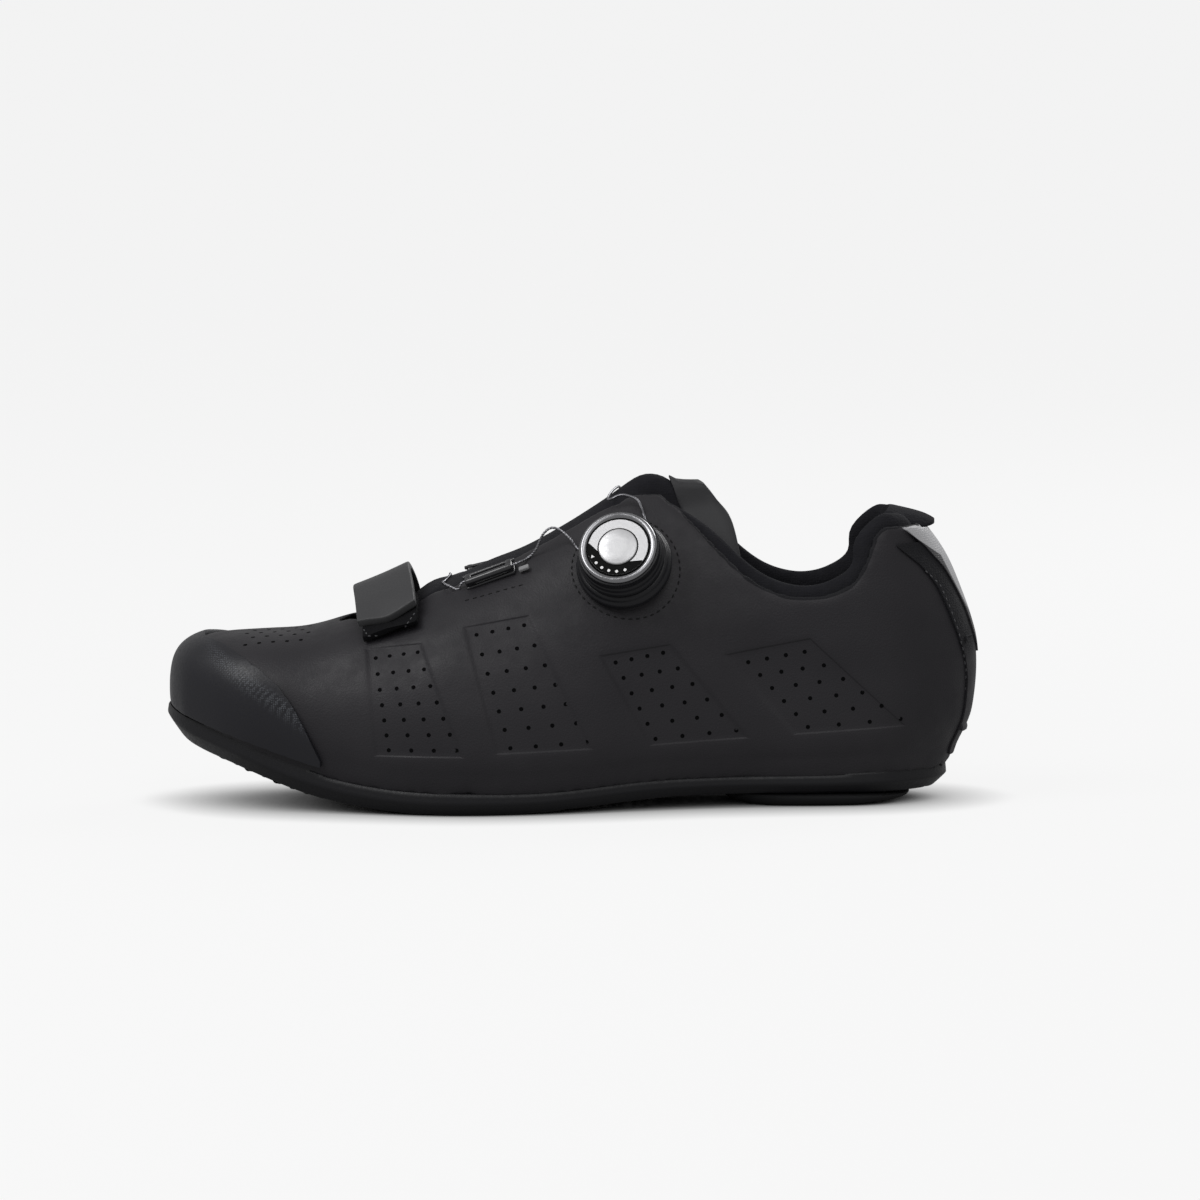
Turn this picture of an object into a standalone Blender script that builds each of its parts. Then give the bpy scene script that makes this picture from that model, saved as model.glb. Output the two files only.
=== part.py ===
"""A road cycling shoe for the left foot, closed by a lace dial and a hook-and-loop strap.

It stands on the floor at Z = 0 with its toe towards -X and its outer side towards -Y, and its origin is the
middle of the cleat seat, the flat of the sole under the ball of the foot. The upper is worked
out on meridians: each rises from the feather line, where upper and sole meet, over the widest point to the
ridge along the top. They stand square to the shoe's length along the body and fan out round one upright
axis at the toe and one at the heel. A lap of 0 is the toe tip, 0.5 the back of the heel, with the outer
side between them, and the inner side runs on from 0.5 to 1. A rise of 0 is the feather line and 1 the ridge.
"""

import math

import bmesh
import bpy
import numpy as np
from mathutils import Matrix, Vector

# Driving sizes, in metres; places along the shoe, and levels, are shares
UPPER_LENGTH = 0.2765
BALL_WIDTH = 0.0965
HEEL_WIDTH = 0.066
TOE_BOX_HEIGHT = 0.0598
INSTEP_HEIGHT = 0.113
EAR_HEIGHT = 0.1080
COLLAR_HEIGHT = 0.0735
HEEL_HEIGHT = 0.0975
TOE_SPRING = 0.031
HEEL_LIFT = 0.0047
SOLE_SIDE = 0.009
SOLE_EDGE = 0.0032
SOLE_FLANGE = 0.001
BELLY_HEIGHT = 0.015
TUCK = 0.004
WALL = 0.002
GAP = 0.0003
OVERLAY_GAP = 0.0007
LINING_GAP = 0.0008

TOE_RADIUS = 0.044
HEEL_RADIUS = 0.035
HEEL_DROP = 0.026

INSOLE_THICKNESS = 0.003
HEEL_PAD_LENGTH = 0.066
HEEL_PAD_WIDTH = 0.052
HEEL_PAD_PLACE = 0.807
HEEL_PAD_OVAL = 3.0
TOE_PAD_THICKNESS = 0.0012
TOE_PAD_RIB = 0.0011
TOE_PAD_RIBS = 7
TOE_PAD_START = 0.055
TOE_PAD_END = 0.178
TOE_PAD_INSET = 0.0115
BOLT_RECESS_DIAMETER = 0.009
BOLT_RECESS_DEPTH = 0.0025
BOLT_SPREAD = 0.034
BOLT_REACH = 0.024
CLEAT_SEAT = 0.373

PANEL_DEPTH = 0.0005
OVERLAY = 0.0013
THROAT_WIDTH = 0.030
TONGUE_THICKNESS = 0.0045
TONGUE_WIDTH = 0.053
TONGUE_END = 0.653
TONGUE_WINGS = 0.702
TONGUE_START = 0.222
FLAP_THICKNESS = 0.0012
ROLL_THICKNESS = 0.0052
ROLL_DEPTH = 0.015
ROLL_RISE = 0.0042
ROLL_START = 0.600
TONGUE_DIP_START = 0.555
TONGUE_CROWN = 0.003
STRAP_PLACE = 0.278
STRAP_WIDTH = 0.0205
STRAP_THICKNESS = 0.0028
STRAP_SLANT = 0.0015
STRAP_LIFT = 0.0085

PATCH_WIDTH = 0.0215
PATCH_SHIFT = 0.001
PATCH_THICKNESS = 0.0024
PATCH_SHEET = 0.0006

DIAL_PLACE = 0.560
DIAL_LEVEL = 0.757
DIAL_BASE_DIAMETER = 0.033
DIAL_KNOB_DIAMETER = 0.0285
DIAL_FACE_DIAMETER = 0.0262
DIAL_BASE_HEIGHT = 0.0042
DIAL_KNOB_HEIGHT = 0.0085
DIAL_FACE_HEIGHT = 0.0012
DIAL_RIBS = 32
DIAL_RIB_DEPTH = 0.0006
GUIDE_LENGTH = 0.018
GUIDE_WIDTH = 0.0062
GUIDE_HEIGHT = 0.0042
LACE_DIAMETER = 0.0012
LACE_LIFT = 0.005

# Where the meridians fan out and how finely they are cut
TOE_LAP = 0.10
HEEL_LAP = 0.42
BELLY_RISE = 0.30
TUCK_CURVE = 2.4
FAN_STEPS = 7
BODY_STEPS = 17
LOWER_STEPS = 2
UPPER_STEPS = 8
OUTLINE_STEPS = 24
SLAB_STEPS = 4
TONGUE_ROWS = 14
FLAP_STEPS = 2
LACE_STEPS = 2

# Plan of the widest line: along as a share of the length, outer and inner as shares of the ball width
BALL_PLAN = (
    (0.008, -0.073, 0.207),
    (0.030, -0.176, 0.290),
    (0.090, -0.321, 0.383),
    (0.170, -0.385, 0.425),
    (0.270, -0.466, 0.470),
    (0.360, -0.523, 0.477),
    (0.480, -0.497, 0.409),
    (0.600, -0.412, 0.335),
)
# The same for the heel, as shares of the heel width
HEEL_PLAN = (
    (0.720, -0.505, 0.465),
    (0.820, -0.500, 0.500),
    (0.910, -0.455, 0.455),
    (0.970, -0.295, 0.295),
    (0.993, -0.144, 0.144),
)
TOE_TIP_ASIDE = 0.093

# Ridge: along, height from toe box (0) to instep (1), place across as a share of the ball width
RIDGE = (
    (0.157, 0.00, 0.052),
    (0.220, 0.05, 0.046),
    (0.270, 0.14, 0.038),
    (0.340, 0.31, 0.024),
    (0.400, 0.46, 0.017),
    (0.460, 0.64, 0.012),
    (0.500, 0.76, 0.008),
    (0.560, 0.95, 0.003),
    (0.605, 1.02, 0.0),
    (0.650, 1.03, 0.0),
    (0.720, 1.19, 0.0),
    (0.800, 1.27, 0.0),
    (0.875, 1.28, 0.0),
)
# Meridians: along, belly above the feather line as a share of BELLY_HEIGHT, tuck as a share of TUCK,
# fullness of the curve from belly to ridge, drop of its end as a share of HEEL_DROP, end radius share
SECTIONS = (
    (0.00, 0.35, 0.2, 3.60, 0.0, 0.00),
    (0.05, 0.45, 0.4, 3.20, 0.0, 0.00),
    (0.15, 0.80, 0.7, 2.70, 0.0, 0.00),
    (0.27, 0.95, 0.8, 2.35, 0.0, 0.00),
    (0.36, 1.00, 0.9, 2.15, 0.0, 0.00),
    (0.48, 1.10, 1.1, 2.02, 0.0, 0.00),
    (0.60, 1.10, 1.2, 2.02, 0.0, 0.00),
    (0.72, 1.20, 1.2, 2.05, 0.0, 0.00),
    (0.80, 1.30, 1.2, 2.15, 0.0, 0.00),
    (0.88, 1.45, 1.4, 2.20, 0.0, 0.10),
    (0.94, 1.75, 1.9, 2.20, 0.45, 0.08),
    (1.00, 2.10, 2.4, 2.05, 1.0, 0.05),
)
# Sole: along, underside as shares of TOE_SPRING and of HEEL_LIFT, side wall as a share of SOLE_SIDE
SOLE = (
    (0.000, 0.930, 0.0, 0.70),
    (0.012, 0.780, 0.0, 0.94),
    (0.045, 0.625, 0.0, 1.10),
    (0.075, 0.535, 0.0, 1.08),
    (0.108, 0.420, 0.0, 1.05),
    (0.171, 0.205, 0.0, 1.05),
    (0.230, 0.077, 0.0, 1.05),
    (0.282, 0.020, 0.0, 1.02),
    (0.320, 0.000, 0.0, 1.03),
    (0.425, 0.000, 0.0, 0.97),
    (0.508, 0.000, 0.33, 0.88),
    (0.579, 0.000, 0.75, 0.87),
    (0.664, 0.000, 1.00, 0.81),
    (0.800, 0.000, 1.00, 0.83),
    (0.900, 0.000, 1.00, 0.92),
    (1.000, 0.000, 1.00, 1.13),
)
# Collar line: along, height as shares of the rise from the collar's low point to the ears and to the heel,
# size of the padded roll along it as a share of ROLL_RISE
COLLAR = (
    (0.540, 1.00, 0.00, 0.20),
    (0.611, 1.00, 0.00, 0.30),
    (0.628, 0.92, 0.00, 0.50),
    (0.652, 0.75, 0.00, 0.80),
    (0.678, 0.54, 0.00, 1.00),
    (0.704, 0.33, 0.00, 1.00),
    (0.735, 0.13, 0.00, 1.00),
    (0.761, 0.04, 0.00, 1.00),
    (0.790, 0.00, 0.00, 1.00),
    (0.815, 0.00, 0.02, 1.10),
    (0.836, 0.00, 0.10, 1.35),
    (0.855, 0.00, 0.26, 1.65),
    (0.867, 0.00, 0.50, 1.80),
    (0.876, 0.00, 0.86, 1.60),
    (0.892, 0.00, 1.00, 1.35),
    (0.946, 0.00, 0.96, 1.40),
    (1.040, 0.00, 0.92, 1.40),
)
# Throat slot: along, half width as a share of THROAT_WIDTH
THROAT = (
    (0.212, 0.00),
    (0.217, 0.20),
    (0.232, 0.36),
    (0.270, 0.43),
    (0.340, 0.47),
    (0.460, 0.50),
    (0.540, 0.46),
    (0.600, 0.42),
    (0.660, 0.42),
)
# Recessed panels, four corners each from the front top, round: along, height as a share of the ridge there
PANELS = (
    ((0.249, 0.86), (0.316, 0.83), (0.367, 0.275), (0.260, 0.31)),
    ((0.369, 0.82), (0.448, 0.77), (0.524, 0.245), (0.409, 0.26)),
    ((0.535, 0.535), (0.621, 0.495), (0.715, 0.20), (0.596, 0.205)),
    ((0.689, 0.425), (0.792, 0.45), (0.897, 0.22), (0.773, 0.205)),
)
# Toe cap edge: lap, height as a share of the toe box
TOE_CAP_EDGE = (
    (0.000, 0.965),
    (0.033, 0.950),
    (0.067, 0.875),
    (0.100, 0.640),
    (0.108, 0.430),
    (0.115, 0.270),
)
# How far up its meridian the toe cap starts
CAP_FOOT = 0.06
# Heel panels: height as a share of the heel height, half angle round the heel axis in degrees
COUNTER_EDGE = (
    (0.17, 19.0),
    (0.29, 20.0),
    (0.45, 21.0),
    (0.61, 29.0),
    (0.71, 34.0),
    (0.79, 39.0),
    (0.85, 50.0),
    (0.90, 68.0),
    (0.935, 76.0),
)
PATCH_EDGE = (
    (0.52, 2.0),
    (0.56, 9.0),
    (0.68, 12.0),
    (0.75, 20.0),
    (0.83, 32.0),
    (0.90, 52.0),
    (0.950, 70.0),
)

# Strap, from the tab to the anchor: aside from the ridge as a share of the ball width, lift as a share
STRAP_PATH = (
    (-0.285, 0.47),
    (-0.160, 0.75),
    (-0.050, 1.00),
    (0.050, 0.95),
    (0.130, 0.62),
    (0.230, 0.12),
    (0.300, 0.00),
    (0.390, 0.00),
)
# Where the patch under the tab starts and ends, aside from the ridge
PATCH_ENDS = (-0.345, -0.175)
# Lace guides: name, along, aside from the ridge as a share of the ball width
GUIDES = (
    ("guide_outer", 0.402, -0.228),
    ("guide_inner_front", 0.402, 0.215),
    ("guide_inner_rear", 0.545, 0.205),
)
# Lace runs: along, aside from the ridge as a share of the ball width, lift as a share of LACE_LIFT
LACES = (
    (
        "lace_front",
        (
            (0.3683, -0.228, 0.20),
            (0.352, -0.232, 0.10),
            (0.337, -0.205, 0.05),
            (0.334, -0.160, 0.00),
            (0.343, -0.090, 0.00),
            (0.350, 0.000, 0.00),
            (0.350, 0.090, 0.00),
            (0.352, 0.160, 0.05),
            (0.3683, 0.205, 0.20),
        ),
    ),
    (
        "lace_side",
        (
            (0.4358, -0.228, 0.20),
            (0.448, -0.215, 0.05),
            (0.457, -0.180, 0.00),
            (0.465, -0.158, 0.00),
            (0.475, -0.155, 0.05),
            (0.484, -0.185, 0.30),
            (0.491, -0.235, 0.45),
            (0.4965, -0.280, 0.60),
        ),
    ),
    (
        "lace_inner",
        (
            (0.4358, 0.215, 0.20),
            (0.450, 0.213, 0.00),
            (0.480, 0.210, 0.00),
            (0.498, 0.207, 0.00),
            (0.5112, 0.205, 0.20),
        ),
    ),
    (
        "lace_rear",
        (
            (0.587, -0.165, 0.65),
            (0.582, -0.110, 0.40),
            (0.574, -0.060, 0.05),
            (0.568, 0.000, 0.00),
            (0.567, 0.070, 0.00),
            (0.574, 0.130, 0.05),
            (0.5788, 0.190, 0.20),
        ),
    ),
)


def smooth(rows, column):
    """Reads one column of a table as a smooth curve that never runs past its own rows."""
    shares = [row[0] for row in rows]
    values = [row[column] for row in rows]
    steps = [(values[i + 1] - values[i]) / (shares[i + 1] - shares[i]) for i in range(len(rows) - 1)]
    slopes = [steps[0]]
    for before, after in zip(steps, steps[1:]):
        slopes.append(2 * before * after / (before + after) if before * after > 0 else 0.0)
    slopes.append(steps[-1])

    def read(share):
        share = min(max(share, shares[0]), shares[-1])
        i = max(k for k in range(len(steps)) if shares[k] <= share)
        width = shares[i + 1] - shares[i]
        k = (share - shares[i]) / width
        start = (1 + 2 * k) * (1 - k) ** 2 * values[i] + k * (1 - k) ** 2 * width * slopes[i]
        end = k * k * (3 - 2 * k) * values[i + 1] + k * k * (k - 1) * width * slopes[i + 1]
        return start + end

    return read


def place(share):
    """The X of a share of the shoe's length, from the toe. X is 0 at the middle of the cleat seat."""
    return (share - CLEAT_SEAT) * UPPER_LENGTH


def share_of(x):
    return x / UPPER_LENGTH + CLEAT_SEAT


RIDGE_HEIGHT = smooth(RIDGE, 1)
RIDGE_ASIDE = smooth(RIDGE, 2)
BELLY_AT = smooth(SECTIONS, 1)
TUCK_AT = smooth(SECTIONS, 2)
FULLNESS_AT = smooth(SECTIONS, 3)
DROP_AT = smooth(SECTIONS, 4)
END_AT = smooth(SECTIONS, 5)
SPRING_AT = smooth(SOLE, 1)
LIFT_AT = smooth(SOLE, 2)
SIDE_AT = smooth(SOLE, 3)
EAR_AT = smooth(COLLAR, 1)
BACK_AT = smooth(COLLAR, 2)
ROLL_AT = smooth(COLLAR, 3)
THROAT_AT = smooth(THROAT, 1)
TOE_AXIS_X = place(0.0) + TOE_RADIUS
HEEL_AXIS_X = place(1.0) - HEEL_RADIUS


def ridge_z(x):
    return TOE_BOX_HEIGHT + (INSTEP_HEIGHT - TOE_BOX_HEIGHT) * RIDGE_HEIGHT(share_of(x))


def ridge_y(x):
    return BALL_WIDTH * RIDGE_ASIDE(share_of(x))


def sole_z(x):
    """The underside of the sole."""
    share = share_of(x)
    return TOE_SPRING * SPRING_AT(share) + HEEL_LIFT * LIFT_AT(share)


def feather_z(x):
    """The height of the line where upper and sole meet."""
    return sole_z(x) + SOLE_SIDE * SIDE_AT(share_of(x))


def collar_z(x):
    share = share_of(x)
    ears = (EAR_HEIGHT - COLLAR_HEIGHT) * EAR_AT(share)
    return COLLAR_HEIGHT + ears + (HEEL_HEIGHT - COLLAR_HEIGHT) * BACK_AT(share)


def plan_outline():
    """The widest line in plan, from the toe tip round the outer side and back, as a smooth closed curve."""
    rows = [(a, o * BALL_WIDTH, i * BALL_WIDTH) for a, o, i in BALL_PLAN]
    rows += [(a, o * HEEL_WIDTH, i * HEEL_WIDTH) for a, o, i in HEEL_PLAN]
    corners = [(place(0.0), TOE_TIP_ASIDE * BALL_WIDTH)]
    corners += [(place(along), outer) for along, outer, _ in rows]
    corners.append((place(1.0), 0.0))
    corners += [(place(along), inner) for along, _, inner in reversed(rows)]
    corners = [np.array(corner) for corner in corners]
    points = []
    for i, corner in enumerate(corners):
        before = corners[i - 1]
        after = corners[(i + 1) % len(corners)]
        beyond = corners[(i + 2) % len(corners)]
        for step in range(OUTLINE_STEPS):
            k = step / OUTLINE_STEPS
            bend = 2 * before - 5 * corner + 4 * after - beyond
            twist = 3 * corner - before - 3 * after + beyond
            points.append(0.5 * (2 * corner + (after - before) * k + bend * k * k + twist * k ** 3))
    return np.array(points)


OUTLINE = plan_outline()


def fan_table(axis_x, facing):
    """Outline points of one fan against their angle round its axis, the outer side positive."""
    reach = OUTLINE[facing * (OUTLINE[:, 0] - axis_x) > -0.004]
    angles = np.arctan2(ridge_y(axis_x) - reach[:, 1], facing * (reach[:, 0] - axis_x))
    order = np.argsort(angles)
    return angles[order], reach[order]


TOE_FAN = fan_table(TOE_AXIS_X, -1)
HEEL_FAN = fan_table(HEEL_AXIS_X, 1)


def side_table(side):
    points = OUTLINE[side * (OUTLINE[:, 1] - 0.02 * BALL_WIDTH) > 0]
    return points[np.argsort(points[:, 0])]


SIDES = {-1: side_table(-1), 1: side_table(1)}


def body_lap(x, side=-1):
    """The lap of the meridian at X along the body, on the outer (-1) or inner (1) side."""
    lap = TOE_LAP + (HEEL_LAP - TOE_LAP) * (x - TOE_AXIS_X) / (HEEL_AXIS_X - TOE_AXIS_X)
    return lap if side < 0 else 1 - lap


def foot_of(lap):
    """Axis point and outline point, in plan, of the meridian at this lap."""
    lap = lap % 1.0
    side = -1 if lap <= 0.5 else 1
    half = lap if side < 0 else 1 - lap
    if half < TOE_LAP or half > HEEL_LAP:
        toe = half < TOE_LAP
        axis_x = TOE_AXIS_X if toe else HEEL_AXIS_X
        angles, reach = TOE_FAN if toe else HEEL_FAN
        turn = half / TOE_LAP if toe else (0.5 - half) / (0.5 - HEEL_LAP)
        angle = -side * turn * math.pi / 2
        foot = np.array([np.interp(angle, angles, reach[:, k]) for k in (0, 1)])
    else:
        axis_x = TOE_AXIS_X + (half - TOE_LAP) / (HEEL_LAP - TOE_LAP) * (HEEL_AXIS_X - TOE_AXIS_X)
        table = SIDES[side]
        foot = np.array([axis_x, np.interp(axis_x, table[:, 0], table[:, 1])])
    return np.array([axis_x, ridge_y(axis_x)]), foot


class Meridian:
    """One upright curve of the upper's outside, from the feather line up to its end."""

    known = {}

    def __init__(self, lap):
        self.axis, foot = foot_of(lap)
        self.radius = float(np.hypot(*(foot - self.axis)))
        self.facing = (foot - self.axis) / self.radius
        along = share_of(foot[0])
        self.tuck = TUCK * TUCK_AT(along)
        self.fullness = FULLNESS_AT(along)
        self.end_radius = END_AT(along)
        feather = self.axis + self.facing * (self.radius - self.tuck)
        self.feather_z = feather_z(feather[0])
        self.belly_z = self.feather_z + BELLY_HEIGHT * BELLY_AT(along)
        self.end_z = ridge_z(self.axis[0]) - HEEL_DROP * DROP_AT(along)

    @classmethod
    def at(cls, lap):
        key = round(lap % 1.0, 7)
        if key not in cls.known:
            cls.known[key] = cls(lap)
        return cls.known[key]

    def point(self, rise):
        if rise < BELLY_RISE:
            k = rise / BELLY_RISE
            height = self.feather_z + (self.belly_z - self.feather_z) * k
            reach = self.radius - self.tuck * (1 - k) ** TUCK_CURVE
        else:
            turn = min(1.0, (rise - BELLY_RISE) / (1 - BELLY_RISE)) * math.pi / 2
            power = 2 / self.fullness
            share = max(0.0, math.cos(turn)) ** power
            height = self.belly_z + (self.end_z - self.belly_z) * math.sin(turn) ** power
            reach = self.radius * (self.end_radius + (1 - self.end_radius) * share)
        plan = self.axis + self.facing * reach
        return np.array([plan[0], plan[1], height])

    def rise_at(self, height):
        """The rise at which this meridian reaches a height."""
        if height < self.belly_z:
            return max(0.0, BELLY_RISE * (height - self.feather_z) / (self.belly_z - self.feather_z))
        share = min(1.0, (height - self.belly_z) / (self.end_z - self.belly_z))
        turn = math.asin(share ** (self.fullness / 2))
        return BELLY_RISE + (1 - BELLY_RISE) * turn / (math.pi / 2)

    def rise_across(self, share):
        """The rise at which this meridian is this share of its radius away from the ridge."""
        turn = math.acos(min(1.0, share) ** (self.fullness / 2))
        return BELLY_RISE + (1 - BELLY_RISE) * turn / (math.pi / 2)


def outward(lap, rise):
    """The upper's unit normal. On the ridge it follows the ridge alone, so that both sides agree."""
    here = Meridian.at(lap)
    if rise > 0.999 and here.end_radius < 0.001:
        step = 0.0005
        x = here.axis[0]
        normal = np.array([ridge_z(x - step) - ridge_z(x + step), 0.0, 2 * step])
        return normal / np.linalg.norm(normal)
    middle = min(rise, 0.992)
    up = here.point(middle + 0.004) - here.point(max(0.0, middle - 0.004))
    round_it = Meridian.at(lap + 0.0004).point(middle) - Meridian.at(lap - 0.0004).point(middle)
    normal = np.cross(round_it, up)
    return normal / np.linalg.norm(normal)


def skin(lap, rise, offset=0.0):
    """A point on the upper's outside, or this far out from it."""
    return Meridian.at(lap).point(rise) + offset * outward(lap, rise)


def spot(x, height, side=-1):
    """Lap and rise of the point of the outside at this X and height."""
    low = 0.0
    high = 0.5
    for _ in range(40):
        lap = (low + high) / 2
        here = Meridian.at(lap if side < 0 else 1 - lap)
        if here.point(here.rise_at(height))[0] < x:
            low = lap
        else:
            high = lap
    lap = lap if side < 0 else 1 - lap
    return lap, Meridian.at(lap).rise_at(height)


def collar_rise(lap):
    """The rise at which a meridian crosses the collar line."""
    here = Meridian.at(lap)
    low = BELLY_RISE
    high = 0.995
    for _ in range(30):
        rise = (low + high) / 2
        point = here.point(rise)
        if point[2] < collar_z(point[0]):
            low = rise
        else:
            high = rise
    return rise


def laps():
    """The laps of the meridians, once round, without the closing one."""
    half = [TOE_LAP * i / FAN_STEPS for i in range(FAN_STEPS)]
    half += [TOE_LAP + (HEEL_LAP - TOE_LAP) * i / BODY_STEPS for i in range(BODY_STEPS)]
    half += [HEEL_LAP + (0.5 - HEEL_LAP) * i / FAN_STEPS for i in range(FAN_STEPS)]
    return half + [0.5] + [1 - lap for lap in reversed(half[1:])]


def rises():
    lower = [BELLY_RISE * i / LOWER_STEPS for i in range(LOWER_STEPS)]
    return lower + [BELLY_RISE + (1 - BELLY_RISE) * i / UPPER_STEPS for i in range(UPPER_STEPS + 1)]


LAPS = laps()
RISES = rises()


def fresh_collection(name):
    collection = bpy.data.collections.new(name)
    bpy.context.scene.collection.children.link(collection)
    return collection


def clear_scene():
    for old in list(bpy.data.objects):
        bpy.data.objects.remove(old)
    for old in list(bpy.data.collections):
        bpy.data.collections.remove(old)


clear_scene()
SHOE = fresh_collection("Cycling shoe")
CUTTERS = fresh_collection("Cutters")


def material(name, colour, roughness, metallic=0.0):
    made = bpy.data.materials.new(name)
    made.use_nodes = True
    shader = made.node_tree.nodes["Principled BSDF"]
    shader.inputs["Base Color"].default_value = (*colour, 1.0)
    shader.inputs["Roughness"].default_value = roughness
    shader.inputs["Metallic"].default_value = metallic
    return made


SOLE_BLACK = ((0.014, 0.014, 0.017), 0.45)
RUBBER_BLACK = ((0.012, 0.012, 0.013), 0.8)
UPPER_CHARCOAL = ((0.032, 0.031, 0.035), 0.55)
CAP_BLUE_BLACK = ((0.026, 0.027, 0.034), 0.35)
TEXTILE_BLACK = ((0.012, 0.012, 0.015), 0.9)
REFLECTIVE_GREY = ((0.33, 0.33, 0.34), 0.5)
STRAP_GREY = ((0.055, 0.055, 0.058), 0.6)
PLASTIC_BLACK = ((0.016, 0.016, 0.018), 0.4)
DIAL_SILVER = ((0.42, 0.42, 0.43), 0.3, 0.8)
STEEL = ((0.45, 0.45, 0.46), 0.3, 1.0)


def new_object(name, mesh, finish, collection=SHOE):
    mesh.materials.append(material(name, *finish))
    made = bpy.data.objects.new(name, mesh)
    collection.objects.link(made)
    mesh.shade_smooth()
    mesh.set_sharp_from_angle(angle=math.radians(35))
    if collection is CUTTERS:
        made.hide_render = True
        made.display_type = "WIRE"
    return made


def mesh_of(name, points, faces):
    """A closed mesh with touching points joined, collapsed faces dropped and its faces pointing out."""
    mesh = bpy.data.meshes.new(name)
    work = bmesh.new()
    corners = [work.verts.new(tuple(point)) for point in points]
    for face in faces:
        work.faces.new([corners[i] for i in face])
    bmesh.ops.remove_doubles(work, verts=work.verts, dist=0.00001)
    bmesh.ops.dissolve_degenerate(work, edges=work.edges, dist=0.000005)
    bmesh.ops.triangulate(work, faces=work.faces)
    bmesh.ops.recalc_face_normals(work, faces=work.faces)
    work.to_mesh(mesh)
    work.free()
    return mesh


def cut(target, cutter):
    boolean = target.modifiers.new(cutter.name, "BOOLEAN")
    boolean.operation = "DIFFERENCE"
    boolean.solver = "EXACT"
    boolean.object = cutter


def loop_faces(rings, closed=True):
    """Quads between rings of equal length, whose points are numbered one ring after another."""
    faces = []
    size = len(rings[0])
    for i in range(len(rings) - 1):
        for j in range(size if closed else size - 1):
            k = (j + 1) % size
            faces.append((i * size + j, i * size + k, (i + 1) * size + k, (i + 1) * size + j))
    return faces


def strip_faces(start, size):
    """Closes a ring of meridian ends across the shoe, each outer point joined to its inner partner."""
    faces = []
    for i in range(size // 2):
        left = (start + i, start + i + 1)
        right = (start + (size - i) % size, start + (size - i - 1) % size)
        corners = dict.fromkeys((left[0], left[1], right[1], right[0]))
        if len(corners) > 2:
            faces.append(tuple(corners))
    return faces


def lofted(rings):
    """Points and faces of a solid whose rings follow the laps, closed across its first and last ring."""
    points = [point for ring in rings for point in ring]
    size = len(rings[0])
    faces = loop_faces(rings)
    faces += strip_faces(0, size)
    faces += strip_faces((len(rings) - 1) * size, size)
    return points, faces


def form_rings(offset):
    return [[skin(lap, rise, offset) for lap in LAPS] for rise in RISES]


def upper_form(name, offset, drop):
    """The whole outside as one closed cutter, this far out, with its foot dropped below the feather line."""
    rings = form_rings(offset)
    foot = [point - np.array([0, 0, drop]) for point in rings[0]]
    return new_object(name, mesh_of(name, *lofted([foot] + rings)), UPPER_CHARCOAL, CUTTERS)


def upper_shell():
    """Outside and inside, joined by the rim at the feather line."""
    outside = form_rings(0.0)
    inside = form_rings(-WALL)
    rings = list(reversed(outside)) + inside
    points, faces = lofted(rings)
    return new_object("upper", mesh_of("upper", points, faces), UPPER_CHARCOAL)


def plate(name, cells, inner, outer, finish, collection=SHOE):
    """A sheet over a grid of (lap, rise) cells, between two distances from the upper's outside."""
    wide = len(cells[0])
    low = [skin(lap, rise, inner(lap, rise)) for row in cells for lap, rise in row]
    high = [skin(lap, rise, outer(lap, rise)) for row in cells for lap, rise in row]
    count = len(low)
    faces = loop_faces(cells, closed=False)
    faces += [tuple(corner + count for corner in face) for face in faces]
    rim = list(range(wide))
    rim += [i * wide + wide - 1 for i in range(1, len(cells))]
    rim += [(len(cells) - 1) * wide + j for j in range(wide - 2, -1, -1)]
    rim += [i * wide for i in range(len(cells) - 2, 0, -1)]
    for here, after in zip(rim, rim[1:] + rim[:1]):
        faces.append((here, after, after + count, here + count))
    return new_object(name, mesh_of(name, low + high, faces), finish, collection)


def evenly(start, stop, steps):
    return [start + (stop - start) * i / steps for i in range(steps + 1)]


def always(distance):
    return lambda lap, rise: distance


def prism(name, outline, low, high, axis):
    """A cutter with this outline, run straight along Y or Z."""
    points = []
    for level in (low, high):
        for first, second in outline:
            points.append((first, level, second) if axis == "Y" else (first, second, level))
    count = len(outline)
    faces = loop_faces([outline, outline])
    faces += [tuple(range(count)), tuple(range(count, 2 * count))]
    return new_object(name, mesh_of(name, points, faces), UPPER_CHARCOAL, CUTTERS)


def collar_cutter():
    stations = evenly(COLLAR[0][0], COLLAR[-1][0], 46)
    line = [(place(share), collar_z(place(share))) for share in stations]
    above = INSTEP_HEIGHT * 1.5
    outline = line + [(line[-1][0], above), (line[0][0], above)]
    return prism("collar opening", outline, -BALL_WIDTH, BALL_WIDTH, "Y")


def throat_cutter():
    stations = [THROAT[0][0], 0.2135] + evenly(THROAT[1][0], THROAT[-1][0], 20)
    half = [(place(share), THROAT_WIDTH * THROAT_AT(share)) for share in stations]
    outer = [(x, ridge_y(x) - reach) for x, reach in half[1:]]
    inner = [(x, ridge_y(x) + reach) for x, reach in reversed(half[1:])]
    tip = [(half[0][0], ridge_y(half[0][0]))]
    return prism("throat opening", tip + outer + inner, TOE_BOX_HEIGHT * 0.5, INSTEP_HEIGHT * 1.5, "Z")


def panel_cells(corners, side, rows=5, columns=4):
    """A grid over one recessed panel, between its four corners."""
    cells = []
    for down in evenly(0, 1, rows):
        row = []
        for along in evenly(0, 1, columns):
            weights = ((1 - down) * (1 - along), (1 - down) * along, down * along, down * (1 - along))
            share = sum(weight * corner[0] for weight, corner in zip(weights, corners))
            level = sum(weight * corner[1] for weight, corner in zip(weights, corners))
            x = place(share)
            row.append(spot(x, level * ridge_z(x), side))
        cells.append(row)
    return cells


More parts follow.
